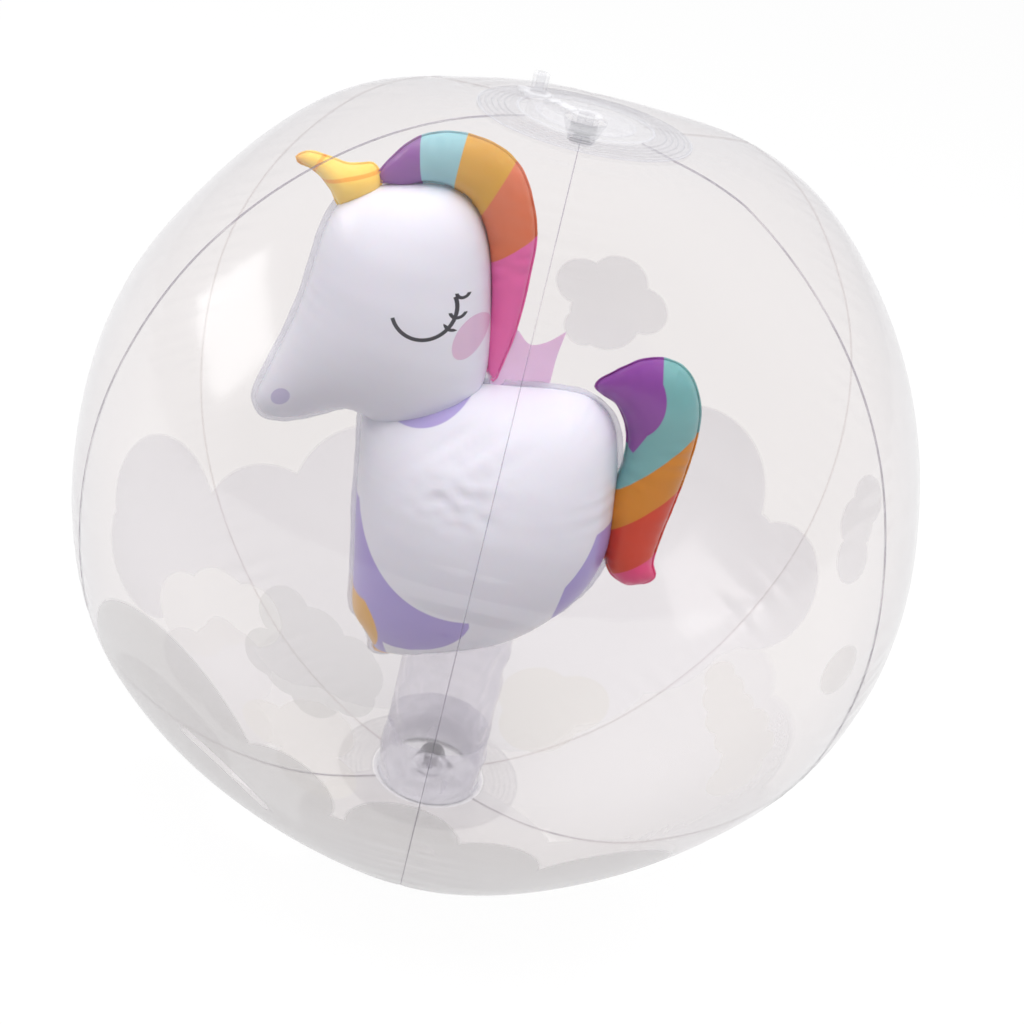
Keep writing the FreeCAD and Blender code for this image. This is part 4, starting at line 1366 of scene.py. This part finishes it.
def softbox(name, place, aim, size, power, mirrored=True):
    lamp = bpy.data.lights.new(name, "AREA")
    lamp.shape = "RECTANGLE"
    lamp.size, lamp.size_y = size
    lamp.energy = power
    holder = bpy.data.objects.new(name, lamp)
    holder.visible_glossy = mirrored
    holder.location = place
    holder.rotation_euler = (Vector(aim) - Vector(place)).to_track_quat("-Z", "Y").to_euler()
    bpy.context.scene.collection.objects.link(holder)


def floor_finish(stage):
    """A pale floor that reads as white and keeps the object's shadow."""
    finish = Finish("pale_floor")
    where, _ = finish.place()
    speck = finish.noise(where, 60.0)
    shade = finish.mix(speck * 0.04, stage.floor, (0.80, 0.80, 0.81))
    base = finish.node("BsdfDiffuse", sockets={"Color": shade, "Roughness": 0.5})
    rays = ("Is Camera Ray", "Is Glossy Ray", "Is Transmission Ray")
    camera, glossy, through = finish.outputs(finish.node("LightPath"), *rays)
    seen = camera.at_least(glossy).at_least(through)
    soft = finish.node("BsdfDiffuse", sockets={"Color": opaque([stage.floor_seen] * 3)})
    glow = finish.node("Emission", sockets={"Color": (1, 1, 1, 1), "Strength": stage.floor_glow})
    lit = finish.node("AddShader", sockets={0: soft, 1: glow})
    return finish.show(finish.mix_shaders(seen, base, lit))


def make_world(stage):
    """White for what the camera sees, a dark side towards -Y for mirrors, and level light elsewhere."""
    world = bpy.data.worlds.new("studio_white")
    world.use_nodes = True
    bpy.context.scene.world = world
    finish = Finish(world)
    rays = ("Is Camera Ray", "Is Transmission Ray", "Is Glossy Ray")
    camera, through, mirrored = finish.outputs(finish.node("LightPath"), *rays)
    seen = camera.at_least(through)
    forward = finish.parts(finish.node("TexCoord", out="Generated"))[1]
    mirror_level = stage.dark_side + forward.rise(-0.15, 0.7) * (1 - stage.dark_side)
    level = stage.sky + mirrored * (mirror_level - stage.sky)
    level = level + seen * (1.0 - level)
    background = finish.node("Background", sockets={"Strength": level})
    finish.node("OutputWorld", sockets={"Surface": background})


class BEACHBALL_OT_stage(bpy.types.Operator):
    """Adds the floor, the light and the camera"""

    bl_idname = "beach_ball.stage"
    bl_label = "Add stage"

    def execute(self, context):
        stage = context.scene.stage_looks
        reach = 9.0
        corners = [(-reach, -reach, 0), (reach, -reach, 0), (reach, reach, 0), (-reach, reach, 0)]
        floor = add_piece("pale_floor", corners, [(0, 1, 2, 3)], floor_finish(stage), smooth=False)
        floor.location.z = -0.0004
        middle = (0, 0, CENTRE_Z)
        softbox("window_softbox", (-1.21, 0.02, 0.68), middle, (0.72, 0.38), 2.6)
        softbox("top_softbox", (0.05, -0.32, 1.6), middle, (1.2, 1.2), 25, mirrored=False)
        make_world(stage)
        self.add_camera(context, stage)
        context.scene.view_settings.view_transform = "Standard"
        return {"FINISHED"}

    def add_camera(self, context, stage):
        camera = bpy.data.objects.new("camera", bpy.data.cameras.new("camera"))
        context.scene.collection.objects.link(camera)
        rise, roll = stage.elevation, stage.roll
        ahead = Vector((0, math.cos(rise), -math.sin(rise)))
        level = Vector((1, 0, 0))
        upright = Vector((0, math.sin(rise), math.cos(rise)))
        right = level * math.cos(roll) + upright * math.sin(roll)
        up = upright * math.cos(roll) - level * math.sin(roll)
        camera.matrix_world = Matrix.Translation(
            Vector((0, 0, CENTRE_Z)) - ahead * stage.distance
        ) @ Matrix((right, up, -ahead)).transposed().to_4x4()
        camera.data.sensor_width = 36
        camera.data.lens = stage.lens
        camera.data.shift_x = stage.shift_x
        camera.data.shift_y = stage.shift_y
        camera.data.clip_start, camera.data.clip_end = 0.01, 50
        camera.data.dof.use_dof = True
        camera.data.dof.focus_distance = stage.focus
        camera.data.dof.aperture_fstop = stage.stop
        context.scene.camera = camera


class BEACHBALL_PT_panel(bpy.types.Panel):
    """Lists the steps that build the ball"""

    bl_label = "Beach ball"
    bl_idname = "BEACHBALL_PT_panel"
    bl_space_type = "VIEW_3D"
    bl_region_type = "UI"
    bl_category = "Beach ball"

    def draw(self, context):
        for step in STEPS:
            self.layout.operator(step.bl_idname)
        for group in GROUPS:
            box = self.layout.box()
            settings = getattr(context.scene, group)
            for name in settings.bl_rna.properties.keys():
                if name not in ("rna_type", "name"):
                    box.prop(settings, name)


STEPS = (
    BEACHBALL_OT_gores,
    BEACHBALL_OT_caps,
    BEACHBALL_OT_valves,
    BEACHBALL_OT_pillar,
    BEACHBALL_OT_unicorn_body,
    BEACHBALL_OT_unicorn_head,
    BEACHBALL_OT_unicorn_mane,
    BEACHBALL_OT_unicorn_tail,
    BEACHBALL_OT_stage,
)
GROUPS = {
    "ball_sizes": BallSizes,
    "ball_looks": BallLooks,
    "unicorn_sizes": UnicornSizes,
    "unicorn_looks": UnicornLooks,
    "stage_looks": StageLooks,
}


def register():
    for group in GROUPS.values():
        bpy.utils.register_class(group)
    for step in (*STEPS, BEACHBALL_PT_panel):
        bpy.utils.register_class(step)
    for name, group in GROUPS.items():
        setattr(bpy.types.Scene, name, bpy.props.PointerProperty(type=group))


def unregister():
    for name in GROUPS:
        delattr(bpy.types.Scene, name)
    for step in (BEACHBALL_PT_panel, *reversed(STEPS)):
        bpy.utils.unregister_class(step)
    for group in GROUPS.values():
        bpy.utils.unregister_class(group)


def main():
    register()
    bpy.ops.beach_ball.gores()
    bpy.ops.beach_ball.caps()
    bpy.ops.beach_ball.valves()
    bpy.ops.beach_ball.pillar()
    bpy.ops.beach_ball.unicorn_body()
    bpy.ops.beach_ball.unicorn_head()
    bpy.ops.beach_ball.unicorn_mane()
    bpy.ops.beach_ball.unicorn_tail()
    bpy.ops.beach_ball.stage()


if __name__ == "__main__":
    main()
